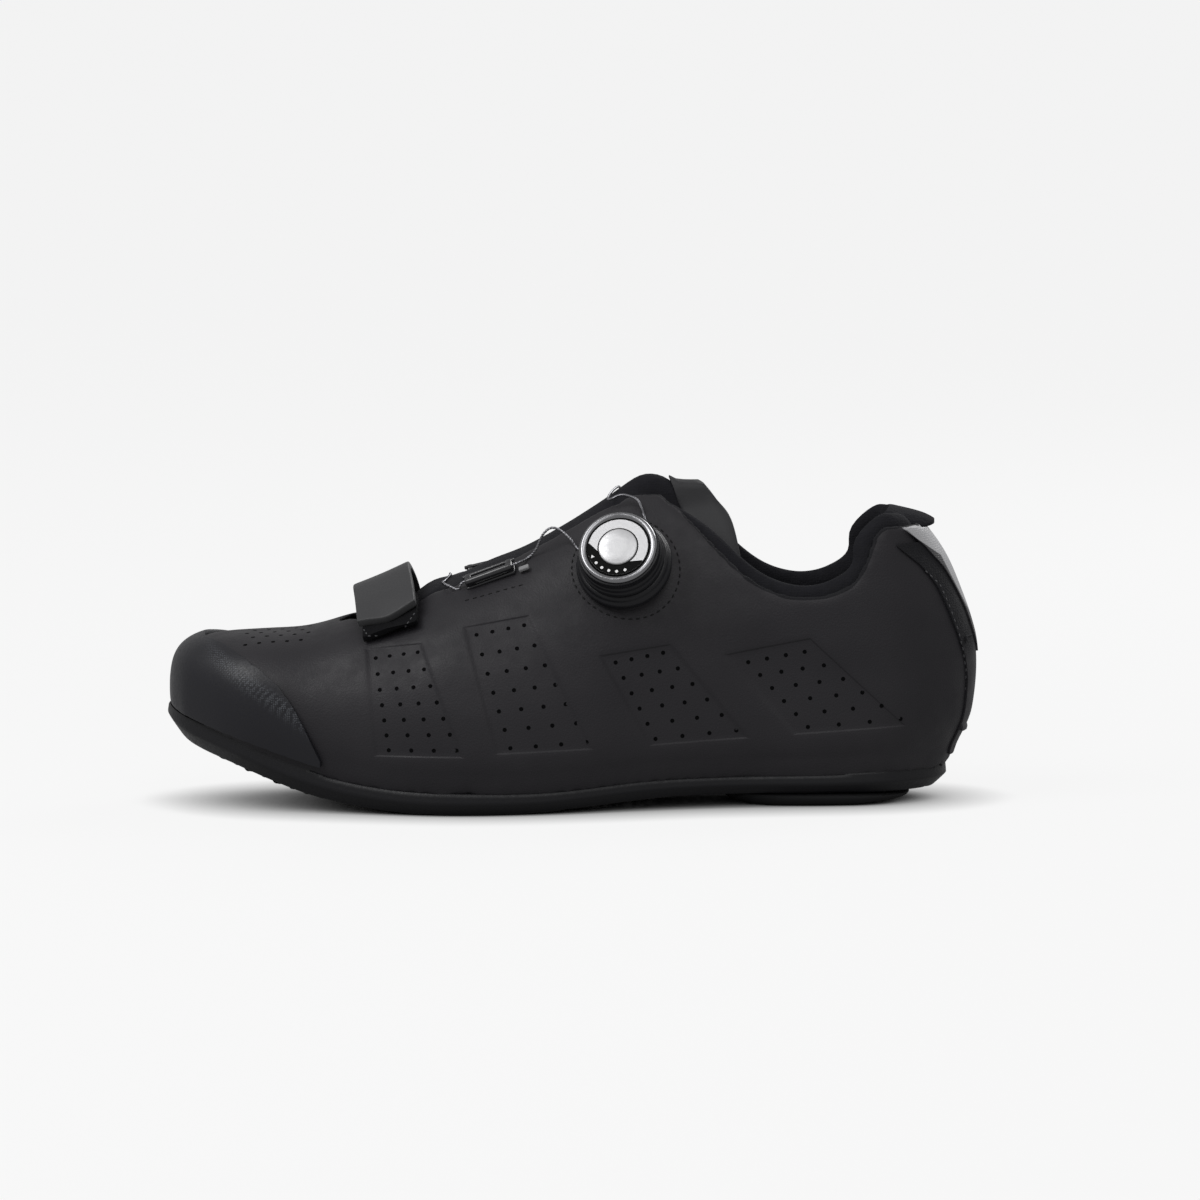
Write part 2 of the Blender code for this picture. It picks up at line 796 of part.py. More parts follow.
def make_upper():
    upper = upper_shell()
    cut(upper, collar_cutter())
    cut(upper, throat_cutter())
    for side, word in ((-1, "outer"), (1, "inner")):
        for number, corners in enumerate(PANELS):
            name = f"{word} panel {number + 1}"
            cells = panel_cells(corners, side)
            recess = plate(name, cells, always(-PANEL_DEPTH), always(WALL), UPPER_CHARCOAL, CUTTERS)
            cut(upper, recess)
    return upper


def sole_edge(lap, inset=0.0):
    """Plan of the feather line, set in by this much, and the axis that its meridian starts from."""
    here = Meridian.at(lap)
    return here.axis, here.axis + here.facing * (here.radius - here.tuck - inset)


def slab_ring(share, inset, height):
    """One ring of a flat layer: this share of the way out from the axis, at a height worked out from X."""
    ring = []
    for lap in LAPS:
        axis, edge = sole_edge(lap, inset)
        plan = axis + (edge - axis) * share
        ring.append(np.array([plan[0], plan[1], height(plan[0])]))
    return ring


def slab_rings(inset, height, going_out=True):
    """A flat face of a layer, from the axis out to its edge or back."""
    shares = evenly(0, 1, SLAB_STEPS)
    return [slab_ring(share, inset, height) for share in (shares if going_out else reversed(shares))]


def make_outsole():
    def top(x):
        return feather_z(x) - GAP

    def middle(x):
        return 0.45 * feather_z(x) + 0.55 * sole_z(x)

    def low(x):
        return sole_z(x) + 0.22 * SOLE_SIDE

    rings = slab_rings(-SOLE_FLANGE * 0.6, top)
    rings += [slab_ring(1.0, -SOLE_FLANGE, middle), slab_ring(1.0, 0.35 * SOLE_EDGE, low)]
    rings += slab_rings(SOLE_EDGE, sole_z, going_out=False)
    outsole = new_object("outsole", mesh_of("outsole", *lofted(rings)), SOLE_BLACK)
    bolts = ((-BOLT_REACH / 2, 0.0), (BOLT_REACH / 2, -BOLT_SPREAD / 2), (BOLT_REACH / 2, BOLT_SPREAD / 2))
    for number, (ahead, aside) in enumerate(bolts):
        bpy.ops.mesh.primitive_cylinder_add(
            vertices=20,
            radius=BOLT_RECESS_DIAMETER / 2,
            depth=2 * BOLT_RECESS_DEPTH,
            location=(ahead, aside, 0.0),
        )
        recess = bpy.context.object
        recess.name = f"bolt recess {number + 1}"
        for held in list(recess.users_collection):
            held.objects.unlink(recess)
        CUTTERS.objects.link(recess)
        recess.hide_render = True
        recess.display_type = "WIRE"
        cut(outsole, recess)
    return outsole


def make_insole():
    inset = WALL + 2 * GAP

    def low(x):
        return feather_z(x) + 2 * GAP

    def high(x):
        return low(x) + INSOLE_THICKNESS

    rings = slab_rings(inset + 0.3 * INSOLE_THICKNESS, high) + slab_rings(inset, low, going_out=False)
    return new_object("insole", mesh_of("insole", *lofted(rings)), TEXTILE_BLACK)


def make_heel_pad():
    """A rounded block with a flat foot: each ring is a full oval, from the top's middle to the foot's."""
    centre = Vector((place(HEEL_PAD_PLACE), 0.0, 0.0))
    height = HEEL_LIFT - GAP
    profile = ((0.0, height), (1.0, height), (1.0, 0.55 * height), (0.80, 0.0), (0.0, 0.0))
    points = []
    rings = []
    for share, level in profile:
        ring = []
        for step in range(36):
            angle = math.tau * step / 36
            cosine, sine = math.cos(angle), math.sin(angle)
            x = math.copysign(abs(cosine) ** (2 / HEEL_PAD_OVAL), cosine) * HEEL_PAD_LENGTH / 2 * share
            y = math.copysign(abs(sine) ** (2 / HEEL_PAD_OVAL), sine) * HEEL_PAD_WIDTH / 2 * (share * 0.5 + 0.5)
            y = 0.0 if share == 0 else y
            ring.append((centre.x + x, y, level))
        points += ring
        rings.append(ring)
    return new_object("heel_pad", mesh_of("heel_pad", points, loop_faces(rings)), RUBBER_BLACK)


def make_toe_pad():
    """Ribs across the sole's turned-up toe, on a thin pad, from side to side inside the sole's edge."""
    steps = 4 * TOE_PAD_RIBS
    low = []
    high = []
    for i, share in enumerate(evenly(TOE_PAD_START, TOE_PAD_END, steps)):
        x = place(share)
        rib = TOE_PAD_RIB * (0.5 - 0.5 * math.cos(math.tau * i / 4))
        top = sole_z(x) - GAP
        outer = SIDES[-1]
        inner = SIDES[1]
        first = np.interp(x, outer[:, 0], outer[:, 1]) + TOE_PAD_INSET
        last = np.interp(x, inner[:, 0], inner[:, 1]) - TOE_PAD_INSET
        for y in evenly(first, last, 4):
            high.append((x, y, top))
            low.append((x, y, top - TOE_PAD_THICKNESS - rib))
    count = len(low)
    wide = 5
    rows = [range(wide)] * (steps + 1)
    faces = loop_faces(rows, closed=False)
    faces += [tuple(corner + count for corner in face) for face in faces]
    rim = list(range(wide)) + [i * wide + wide - 1 for i in range(1, steps + 1)]
    rim += [steps * wide + j for j in range(wide - 2, -1, -1)] + [i * wide for i in range(steps - 1, 0, -1)]
    for here, after in zip(rim, rim[1:] + rim[:1]):
        faces.append((here, after, after + count, here + count))
    return new_object("toe_pad", mesh_of("toe_pad", low + high, faces), RUBBER_BLACK)


def make_toe_cap():
    edge = smooth(TOE_CAP_EDGE, 1)
    reach = TOE_CAP_EDGE[-1][0]
    columns = []
    for lap in evenly(-reach, reach, 22):
        here = Meridian.at(lap)
        top = here.rise_at(edge(abs(lap)) * TOE_BOX_HEIGHT)
        columns.append([(lap, rise) for rise in evenly(CAP_FOOT, max(top, 1.6 * CAP_FOOT), 6)])
    return plate("toe_cap", columns, always(OVERLAY_GAP), always(OVERLAY), CAP_BLUE_BLACK)


def rear_lap(angle):
    """The lap at an angle round the heel axis, in degrees, positive on the outer side."""
    return 0.5 - (0.5 - HEEL_LAP) * angle / 90


def heel_panel(name, edge, inner, outer, finish, rows, columns):
    limit = smooth(edge, 1)
    cells = []
    for share in evenly(edge[0][0], edge[-1][0], rows):
        row = []
        for angle in evenly(-limit(share), limit(share), columns):
            lap = rear_lap(angle)
            row.append((lap, Meridian.at(lap).rise_at(share * HEEL_HEIGHT)))
        cells.append(row)
    return plate(name, cells, always(inner), always(outer), finish)


def roll_laps():
    """From the ear on the outer side round the heel to the ear on the inner side."""
    front = body_lap(place(ROLL_START))
    body = evenly(front, HEEL_LAP, 15)
    fan = evenly(HEEL_LAP, 0.5, 7)
    half = body[:-1] + fan
    return half + [1 - lap for lap in reversed(half[:-1])]


def make_collar_roll():
    """A padded roll inside the collar's edge, its section given as shares of its thickness and height."""
    section = (
        (0.0, -1.0, 0.0),
        (0.0, -0.5, 0.0),
        (0.0, 0.0, 0.0),
        (0.05, 0.0, 0.55),
        (0.35, 0.0, 1.0),
        (0.70, 0.0, 0.80),
        (1.0, 0.0, 0.10),
        (0.95, -0.35, 0.0),
        (0.45, -1.0, 0.0),
    )
    rings = []
    stride = (HEEL_AXIS_X - TOE_AXIS_X) / (HEEL_LAP - TOE_LAP)
    step = 0.001
    for lap in roll_laps():
        x, _, height = Meridian.at(lap).point(collar_rise(lap))
        near = [Meridian.at(lap + turn).point(collar_rise(lap + turn))[2] for turn in (-step, step)]
        slope = (near[1] - near[0]) / (2 * step * stride)
        size = ROLL_RISE * ROLL_AT(share_of(x)) / math.hypot(slope, 1.0)
        ring = []
        for deep, below, above in section:
            level = height + below * ROLL_DEPTH + above * size
            here = lap - above * size * slope / stride
            rise = Meridian.at(here).rise_at(level)
            depth = -(WALL + LINING_GAP + deep * ROLL_THICKNESS)
            spare = level - Meridian.at(here).point(rise)[2]
            ring.append(skin(here, min(rise, 0.985), depth) + np.array([0, 0, max(0.0, spare)]))
        rings.append(ring)
    points = [point for ring in rings for point in ring]
    size = len(section)
    faces = loop_faces(rings)
    faces += [tuple(range(size)), tuple((len(rings) - 1) * size + k for k in range(size))]
    return new_object("collar_roll", mesh_of("collar_roll", points, faces), TEXTILE_BLACK)


def across_cell(x, aside):
    """Lap and rise of the outside at X, this far to the outer (negative) or inner side of the ridge."""
    lap = body_lap(x, 1 if aside > 0 else -1)
    here = Meridian.at(lap)
    return lap, here.rise_across(abs(aside) / here.radius)


def tongue_cells(start, middle_end, side_end, rows, shares):
    """Rows along the tongue; its top edge runs further back at the sides, where it wraps the ankle."""
    cells = []
    for k in evenly(0, 1, rows):
        row = []
        for share in shares:
            stop = middle_end + (side_end - middle_end) * abs(share) ** 1.2
            x = place(start + (stop - start) * k)
            spread = TONGUE_WIDTH / 2 * (0.62 + 0.38 * min(1.0, k * 1.3))
            row.append(across_cell(x, share * spread))
        cells.append(row)
    return cells


def tongue_face(lap, rise):
    """The tongue's face lies under the throat's edges, and at its top its sides go under the collar roll."""
    here = Meridian.at(lap)
    point = here.point(rise)
    aside = math.hypot(point[0] - here.axis[0], point[1] - here.axis[1])
    across = min(1.0, max(0.0, (aside - TONGUE_CROWN) / (ROLL_THICKNESS * 1.7)))
    along = (share_of(point[0]) - TONGUE_DIP_START) / (ROLL_START - 0.01 - TONGUE_DIP_START)
    dip = across * across * (3 - 2 * across) * min(1.0, max(0.0, along))
    return -(WALL + LINING_GAP + dip * (ROLL_THICKNESS + FLAP_THICKNESS + 9 * GAP))


def tongue_back(lap, rise):
    return tongue_face(lap, rise) - TONGUE_THICKNESS


def make_tongue():
    return plate("tongue", TONGUE_CELLS, tongue_back, tongue_face, TEXTILE_BLACK)


def make_tongue_flap():
    """The matte sheet on the tongue's top end."""

    def low(lap, rise):
        return tongue_face(lap, rise) + 1.6 * GAP

    def high(lap, rise):
        return low(lap, rise) + FLAP_THICKNESS

    return plate("tongue_flap", TONGUE_CELLS[-FLAP_STEPS:], low, high, STRAP_GREY)


def make_strap():
    """From its anchor on the inner side over the throat to the free tab on the outer side."""
    lift = smooth(STRAP_PATH, 1)
    cells = []
    for aside in evenly(STRAP_PATH[0][0], STRAP_PATH[-1][0], 22):
        row = []
        for across in evenly(-0.5, 0.5, 4):
            x = place(STRAP_PLACE) + across * STRAP_WIDTH - STRAP_SLANT * aside
            row.append(across_cell(x, aside * BALL_WIDTH))
        cells.append(row)

    def low(lap, rise):
        here = Meridian.at(lap)
        point = here.point(rise)
        side = 1 if point[1] > here.axis[1] else -1
        aside = side * math.hypot(point[0] - here.axis[0], point[1] - here.axis[1]) / BALL_WIDTH
        return GAP + STRAP_LIFT * lift(aside)

    def high(lap, rise):
        return low(lap, rise) + STRAP_THICKNESS

    return plate("strap", cells, low, high, STRAP_GREY)


def make_loop_patch():
    """The patch under the strap's tab, on the outer side of the throat."""
    cells = []
    for aside in evenly(PATCH_ENDS[0], PATCH_ENDS[1], 6):
        row = []
        for across in evenly(-0.5, 0.5, 4):
            x = place(STRAP_PLACE) + across * PATCH_WIDTH - STRAP_SLANT * aside + PATCH_SHIFT
            row.append(across_cell(x, aside * BALL_WIDTH))
        cells.append(row)
    return plate("loop_patch", cells, always(GAP), always(GAP + PATCH_THICKNESS), TEXTILE_BLACK)


def frame_on(lap, rise, lift=0.0):
    """A frame that stands on the upper: its Z is the surface's normal and its X runs back along the shoe."""
    up = Vector(outward(lap, rise))
    here = Vector(skin(lap, rise, lift))
    back = Vector((1.0, 0.0, 0.0))
    back = (back - up * back.dot(up)).normalized()
    turn = Matrix((back, up.cross(back), up)).transposed().to_4x4()
    return Matrix.Translation(here) @ turn


def turned(name, frame, profile, finish, segments, ribs=0, rib_depth=0.0):
    """Rings about the frame's Z, each (radius, height, share of the ribs' depth); the ends lie on the axis."""
    rings = []
    for radius, height, share in profile:
        ring = []
        for step in range(segments):
            angle = math.tau * step / segments
            rib = rib_depth * share * (0.5 - 0.5 * math.cos(angle * ribs)) if ribs else 0.0
            reach = max(0.0, radius - rib)
            ring.append(frame @ Vector((reach * math.cos(angle), reach * math.sin(angle), height)))
        rings.append(ring)
    points = [point for ring in rings for point in ring]
    return new_object(name, mesh_of(name, points, loop_faces(rings)), finish)


def make_dial(form):
    lap, rise = spot(place(DIAL_PLACE), DIAL_LEVEL * INSTEP_HEIGHT)
    frame = frame_on(lap, rise)
    base = DIAL_BASE_DIAMETER / 2
    knob = DIAL_KNOB_DIAMETER / 2
    face = DIAL_FACE_DIAMETER / 2
    edge = DIAL_FACE_HEIGHT / 2
    foot = DIAL_BASE_HEIGHT + GAP
    top = foot + DIAL_KNOB_HEIGHT
    profile = (
        (0.0, -DIAL_BASE_HEIGHT, 0),
        (base, -DIAL_BASE_HEIGHT, 0),
        (base, 0.6 * DIAL_BASE_HEIGHT, 0),
        (base - 0.4 * DIAL_BASE_HEIGHT, DIAL_BASE_HEIGHT, 0),
        (0.0, DIAL_BASE_HEIGHT, 0),
    )
    dial_base = turned("dial_base", frame, profile, PLASTIC_BLACK, 36)
    cut(dial_base, form)
    profile = (
        (0.0, foot, 0),
        (knob - edge, foot, 1),
        (knob, foot + edge, 1),
        (knob - edge, top - edge, 1),
        (face, top, 0),
        (0.0, top, 0),
    )
    turned("dial_knob", frame, profile, PLASTIC_BLACK, 2 * DIAL_RIBS, DIAL_RIBS, DIAL_RIB_DEPTH)
    profile = (
        (0.0, top + GAP, 0),
        (face, top + GAP, 0),
        (face, top + GAP + edge, 0),
        (face - edge, top + GAP + DIAL_FACE_HEIGHT, 0),
        (0.0, top + GAP + DIAL_FACE_HEIGHT, 0),
    )
    turned("dial_face", frame, profile, DIAL_SILVER, 36)


def make_guide(name, along, aside, form):
    """A moulded bar on the throat's edge, bevelled, its foot cut to the upper."""
    lap, rise = across_cell(place(along), aside * BALL_WIDTH)
    frame = frame_on(lap, rise)
    bpy.ops.mesh.primitive_cube_add(size=1.0)
    guide = bpy.context.object
    guide.name = name
    for held in list(guide.users_collection):
        held.objects.unlink(guide)
    SHOE.objects.link(guide)
    size = Matrix.Diagonal((GUIDE_LENGTH, GUIDE_WIDTH, 2 * GUIDE_HEIGHT, 1.0))
    guide.data.transform(frame @ size)
    guide.data.materials.append(material(name, *PLASTIC_BLACK))
    bevel = guide.modifiers.new("rounded edges", "BEVEL")
    bevel.width = 0.3 * GUIDE_HEIGHT
    bevel.segments = 2
    cut(guide, form)
    return guide


def make_lace(name, route):
    """One run of the steel lace, over the upper: along, aside and lift above it, as shares."""
    knots = []
    for along, aside, lift in route:
        lap, rise = across_cell(place(along), aside * BALL_WIDTH)
        knots.append(skin(lap, rise, LACE_DIAMETER / 2 + 1.5 * GAP + lift * LACE_LIFT))
    points = []
    for i in range(len(knots) - 1):
        before = knots[max(0, i - 1)]
        here, after = knots[i], knots[i + 1]
        beyond = knots[min(len(knots) - 1, i + 2)]
        for step in range(LACE_STEPS):
            k = step / LACE_STEPS
            bend = 2 * before - 5 * here + 4 * after - beyond
            twist = 3 * here - before - 3 * after + beyond
            points.append(0.5 * (2 * here + (after - before) * k + bend * k * k + twist * k ** 3))
    points.append(knots[-1])
    curve = bpy.data.curves.new(name, "CURVE")
    curve.dimensions = "3D"
    curve.bevel_depth = LACE_DIAMETER / 2
    curve.bevel_resolution = 2
    curve.use_fill_caps = True
    run = curve.splines.new("POLY")
    run.points.add(len(points) - 1)
    for knot, point in zip(run.points, points):
        knot.co = (*point, 1.0)
    curve.materials.append(material(name, *STEEL))
    lace = bpy.data.objects.new(name, curve)
    SHOE.objects.link(lace)
    return lace


TONGUE_CELLS = tongue_cells(TONGUE_START, TONGUE_END, TONGUE_WINGS, TONGUE_ROWS, evenly(-1, 1, 10))

make_upper()
make_outsole()
make_insole()
make_heel_pad()
make_toe_pad()
make_toe_cap()
heel_panel("heel_counter", COUNTER_EDGE, OVERLAY_GAP, OVERLAY, UPPER_CHARCOAL, 9, 13)
heel_panel("heel_patch", PATCH_EDGE, OVERLAY + GAP, OVERLAY + GAP + PATCH_SHEET, REFLECTIVE_GREY, 6, 10)
make_collar_roll()
make_tongue()
make_tongue_flap()
make_strap()
make_loop_patch()
FORM = upper_form("upper form", GAP, SOLE_SIDE)
make_dial(FORM)
for guide_name, guide_along, guide_aside in GUIDES:
    make_guide(guide_name, guide_along, guide_aside, FORM)
for lace_name, lace_route in LACES:
    make_lace(lace_name, lace_route)
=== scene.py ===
"""The looks of a left cycling shoe, dressed piece by piece in the order in which the shoe is put together.

Lengths are in metres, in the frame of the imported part: the toe points to -X, and the outer side
of the foot is -Y.
"""

import math

import bmesh
import bpy
import numpy as np
from mathutils import Matrix, Vector
from mathutils.bvhtree import BVHTree
from mathutils.kdtree import KDTree


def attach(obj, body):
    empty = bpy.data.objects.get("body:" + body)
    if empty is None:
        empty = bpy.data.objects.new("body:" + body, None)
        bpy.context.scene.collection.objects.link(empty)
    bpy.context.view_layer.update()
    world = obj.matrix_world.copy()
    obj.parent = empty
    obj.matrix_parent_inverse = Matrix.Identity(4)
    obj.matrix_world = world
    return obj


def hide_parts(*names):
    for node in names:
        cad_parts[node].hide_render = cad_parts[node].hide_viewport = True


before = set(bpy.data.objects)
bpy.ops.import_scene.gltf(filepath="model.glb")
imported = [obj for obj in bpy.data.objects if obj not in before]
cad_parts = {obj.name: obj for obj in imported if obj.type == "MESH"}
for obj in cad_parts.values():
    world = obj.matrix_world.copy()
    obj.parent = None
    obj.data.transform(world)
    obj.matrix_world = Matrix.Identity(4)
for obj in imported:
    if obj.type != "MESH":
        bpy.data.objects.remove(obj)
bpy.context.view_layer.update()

# Camera
# The photograph shows the outer side through a long lens, from a little above the floor, with a slight
# roll that sets the toe lower. The frame is as wide as the photograph's at the shoe's middle plane.
VIEW_ELEVATION = math.radians(6.0)
VIEW_ROLL = math.radians(0.36)
VIEW_DISTANCE = 2.6
VIEW_WIDTH = 0.4164
VIEW_CENTRE = Vector((0.0455, 0.0, 0.0695))
view_back = Vector((0.0, -math.cos(VIEW_ELEVATION), math.sin(VIEW_ELEVATION)))
bpy.ops.object.camera_add(location=VIEW_CENTRE + view_back * VIEW_DISTANCE)
camera = bpy.context.object
camera.matrix_world = (
    Matrix.Translation(camera.location)
    @ Matrix.Rotation(math.pi / 2 - VIEW_ELEVATION, 4, "X")
    @ Matrix.Rotation(-VIEW_ROLL, 4, "Z")
)
camera.data.sensor_width = 36.0
camera.data.lens = camera.data.sensor_width * VIEW_DISTANCE / VIEW_WIDTH
camera.data.clip_end = 100.0
bpy.context.scene.camera = camera
bpy.context.scene.view_settings.view_transform = "Standard"
PICTURE_PIXELS = 1200


def sight_line(across, down):
    """From the camera through a place in the photograph, given in its pixels."""
    pixel = VIEW_WIDTH / PICTURE_PIXELS
    middle = PICTURE_PIXELS / 2
    aim = Vector(((across - middle) * pixel, (middle - down) * pixel, -VIEW_DISTANCE))
    return camera.matrix_world.to_3x3() @ aim.normalized()


# Studio
# The shoe stands on a plain pale table that runs back out of sight, under one large soft lamp at the
# upper left, one behind the heel, a wide weak one in front and an even white room. The table glows
# evenly, as a sweep under lamps does; close under the shoe its glow is darkened by an occlusion mask,
# which is a painted shadow. Each lamp is its name, place, size and power.
FLOOR_RADIUS = 40.0
FLOOR_WHITE = 0.06
FLOOR_GLOW = 0.87
FLOOR_GLOW_ON_SHOE = 0.36
PAINTED_SHADOW_REACH = 0.032
ROOM_LIGHT = 0.42
LAMPS = (
    ("soft lamp over the toe", (-0.85, -0.55, 1.15), 0.9, 10.5),
    ("lamp behind the heel", (0.85, 0.95, 0.85), 0.7, 8.0),
    ("front fill", (0.30, -1.2, 1.30), 1.2, 6.5),
)
LAMPS_AIM = Vector((0.03, 0.0, 0.05))
# How open the floor's surroundings are where the painted shadow takes all of its glow, and where it takes
# none
OPEN_NONE = 0.04
OPEN_FULL = 0.90
bpy.ops.mesh.primitive_circle_add(vertices=96, radius=FLOOR_RADIUS, fill_type="NGON")
floor = bpy.context.object
floor.name = "floor"
floor_finish = bpy.data.materials.new("pale table")
floor_finish.use_nodes = True
floor_nodes = floor_finish.node_tree.nodes
floor_links = floor_finish.node_tree.links
floor_shader = floor_nodes["Principled BSDF"]
floor_shader.inputs["Base Color"].default_value = (FLOOR_WHITE, FLOOR_WHITE, FLOOR_WHITE, 1.0)
floor_shader.inputs["Roughness"].default_value = 0.9
floor_shader.inputs["Specular IOR Level"].default_value = 0.0
floor_shader.inputs["Emission Strength"].default_value = 1.0
# Painted shadow: the floor's glow is darkened by how much the shoe hides its surroundings nearby
painted_contact_shadow = floor_nodes.new("ShaderNodeAmbientOcclusion")
painted_contact_shadow.samples = 24
painted_contact_shadow.inputs["Distance"].default_value = PAINTED_SHADOW_REACH
seen = floor_nodes.new("ShaderNodeLightPath")
glow = floor_nodes.new("ShaderNodeMapRange")
glow.inputs["To Min"].default_value = FLOOR_GLOW_ON_SHOE
glow.inputs["To Max"].default_value = FLOOR_GLOW
floor_links.new(seen.outputs["Is Camera Ray"], glow.inputs["Value"])
open_air = floor_nodes.new("ShaderNodeMapRange")
open_air.inputs["From Min"].default_value = OPEN_NONE
open_air.inputs["From Max"].default_value = OPEN_FULL
glow_under_painted_shadow = floor_nodes.new("ShaderNodeMath")
glow_under_painted_shadow.operation = "MULTIPLY"
floor_links.new(painted_contact_shadow.outputs["AO"], open_air.inputs["Value"])
floor_links.new(open_air.outputs["Result"], glow_under_painted_shadow.inputs[0])
floor_links.new(glow.outputs["Result"], glow_under_painted_shadow.inputs[1])
floor_links.new(glow_under_painted_shadow.outputs["Value"], floor_shader.inputs["Emission Color"])
floor.data.materials.append(floor_finish)
room = bpy.data.worlds.new("white room")
room.use_nodes = True
room.node_tree.nodes["Background"].inputs["Color"].default_value = (1.0, 1.0, 1.0, 1.0)
room.node_tree.nodes["Background"].inputs["Strength"].default_value = ROOM_LIGHT
bpy.context.scene.world = room
for lamp_name, lamp_place, lamp_size, lamp_power in LAMPS:
    bpy.ops.object.light_add(type="AREA", location=lamp_place)
    lamp = bpy.context.object
    lamp.name = lamp_name
    lamp.data.shape = "DISK"
    lamp.data.size = lamp_size
    lamp.data.energy = lamp_power
    lamp.rotation_euler = (Vector(lamp_place) - LAMPS_AIM).to_track_quat("Z", "Y").to_euler()

# Outsole
# A stiff moulded sole with a rounded side wall, turned up at the toe. It is satin black plastic with a
# faint moulded speckle, and the upper is bonded down onto it.
SOLE_BLACK = (0.0078, 0.0078, 0.0094)
SOLE_SPECKLE = 900.0
# The sole's ends reach out this far, growing over this length from these places along X
TOE_REACH = 0.0027
SOLE_TOE = -0.084
HEEL_REACH = 0.0016
SOLE_HEEL = 0.148
END_LENGTH = 0.02


class Link:
    """One output socket, so that sums of masks can be written as they are read."""

    def __init__(self, finish, socket):
        self.finish = finish
        self.socket = socket

    def maths(self, operation, *others):
        """One sum on this value and the others."""
        return self.finish.node("ShaderNodeMath", {"operation": operation}, (self, *others))

    def __add__(self, other):
        return self.maths("ADD", other)

    def __sub__(self, other):
        return self.maths("SUBTRACT", other)

    def __mul__(self, other):
        return self.maths("MULTIPLY", other)

    def __rsub__(self, other):
        return self.finish.node("ShaderNodeMath", {"operation": "SUBTRACT"}, (other, self))

    __radd__ = __add__
    __rmul__ = __mul__

    def ramp(self, start, stop, low=0.0, high=1.0):
        """Smooth step from low to high as the value goes from start to stop."""
        settings = {"interpolation_type": "SMOOTHSTEP", "clamp": True}
        return self.finish.node("ShaderNodeMapRange", settings, (self, start, stop, low, high))


class Finish:
    """A material under construction, with one method that adds any node."""

    def __init__(self, name, colour, roughness, metallic=0.0, specular=0.5, coat=0.0, coat_roughness=0.2):
        self.material = bpy.data.materials.new(name)
        self.material.use_nodes = True
        self.tree = self.material.node_tree
        self.shader = self.tree.nodes["Principled BSDF"]
        self.shader.inputs["Base Color"].default_value = (*colour, 1.0)
        self.shader.inputs["Roughness"].default_value = roughness
        self.shader.inputs["Metallic"].default_value = metallic
        self.shader.inputs["Specular IOR Level"].default_value = specular
        self.shader.inputs["Coat Weight"].default_value = coat
        self.shader.inputs["Coat Roughness"].default_value = coat_roughness
        self.place = self.node("ShaderNodeTexCoord", output="Object")

    def node(self, kind, settings=None, values=(), output=None):
        """Adds a node: its settings first, then its sockets, by order or by name. Returns one output."""
        made = self.tree.nodes.new(kind)
        for key, value in (settings or {}).items():
            setattr(made, key, value)
        pairs = values.items() if isinstance(values, dict) else enumerate(values)
        for key, value in pairs:
            if isinstance(value, Link):
                self.tree.links.new(value.socket, made.inputs[key])
            else:
                made.inputs[key].default_value = value
        return Link(self, made.outputs[output if output is not None else 0])

    def axis(self, name):
        """One of the object coordinates: X, Y or Z, in metres."""
        return self.node("ShaderNodeSeparateXYZ", values=(self.place,), output=name)

    def noise(self, scale, detail=2.0, roughness=0.5):
        """Cloudy noise, this many clouds to the metre."""
        values = {"Vector": self.place, "Scale": scale, "Detail": detail, "Roughness": roughness}
        return self.node("ShaderNodeTexNoise", values=values)

    def cells(self, scale, randomness=1.0):
        """Distance to the middle of the nearest cell, this many cells to the metre."""
        values = {"Vector": self.place, "Scale": scale, "Randomness": randomness}
        return self.node("ShaderNodeTexVoronoi", values=values)

    def colours(self, mask, low, high):
        """Base colour that runs from low to high with a mask."""
        made = self.tree.nodes.new("ShaderNodeMix")
        made.data_type = "RGBA"
        self.tree.links.new(mask.socket, made.inputs["Factor"])
        for side, colour in (("A", low), ("B", high)):
            socket = [s for s in made.inputs if s.name == side and s.type == "RGBA"][0]
            if isinstance(colour, Link):
                self.tree.links.new(colour.socket, socket)
            else:
                socket.default_value = (*colour, 1.0)
        return Link(self, [s for s in made.outputs if s.type == "RGBA"][0])

    def feed(self, name, link):
        """Lets a value drive one of the shader's inputs."""
        self.tree.links.new(link.socket, self.shader.inputs[name])

    def bump(self, height, distance, strength=1.0):
        """Relief of this many metres where the height goes from 0 to 1."""
        values = {"Height": height, "Distance": distance, "Strength": strength}
        self.feed("Normal", self.node("ShaderNodeBump", values=values))


def only(piece):
    """Makes this piece the one that the next operators act on."""
    if bpy.context.object and bpy.context.object.mode != "OBJECT":
        bpy.ops.object.mode_set(mode="OBJECT")
    bpy.ops.object.select_all(action="DESELECT")
    piece.select_set(True)
    bpy.context.view_layer.objects.active = piece


def copy_of(node, name):
    """A new piece from a solid's own faces, with their loose corners merged and their squares restored."""
    piece = bpy.data.objects.new(name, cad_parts[node].data.copy())
    bpy.context.scene.collection.objects.link(piece)
    piece.data.materials.clear()
    only(piece)
    bpy.ops.object.mode_set(mode="EDIT")
    bpy.ops.mesh.select_all(action="SELECT")
    bpy.ops.mesh.remove_doubles(threshold=0.00001)
    bpy.ops.mesh.tris_convert_to_quads(face_threshold=math.radians(40), shape_threshold=math.radians(40))
    bpy.ops.object.mode_set(mode="OBJECT")
    return piece


def apply_modifier(piece, kind, **settings):
    """Adds a modifier with these settings and applies it."""
    only(piece)
    modifier = piece.modifiers.new(kind.lower(), kind)
    for key, value in settings.items():
        setattr(modifier, key, value)
    bpy.ops.object.modifier_apply(modifier=modifier.name)


def rounded_steps(piece, sharpness=35, crease=0.6, levels=2):
    """Creases the edges that are sharper than this and subdivides, so that curves lose their flats."""
    only(piece)
    bpy.ops.object.mode_set(mode="EDIT")
    bpy.ops.mesh.select_mode(type="EDGE")
    bpy.ops.mesh.select_all(action="DESELECT")
    bpy.ops.mesh.edges_select_sharp(sharpness=math.radians(sharpness))
    bpy.ops.transform.edge_crease(value=crease)
    bpy.ops.object.mode_set(mode="OBJECT")
    apply_modifier(piece, "SUBSURF", levels=levels, render_levels=levels)


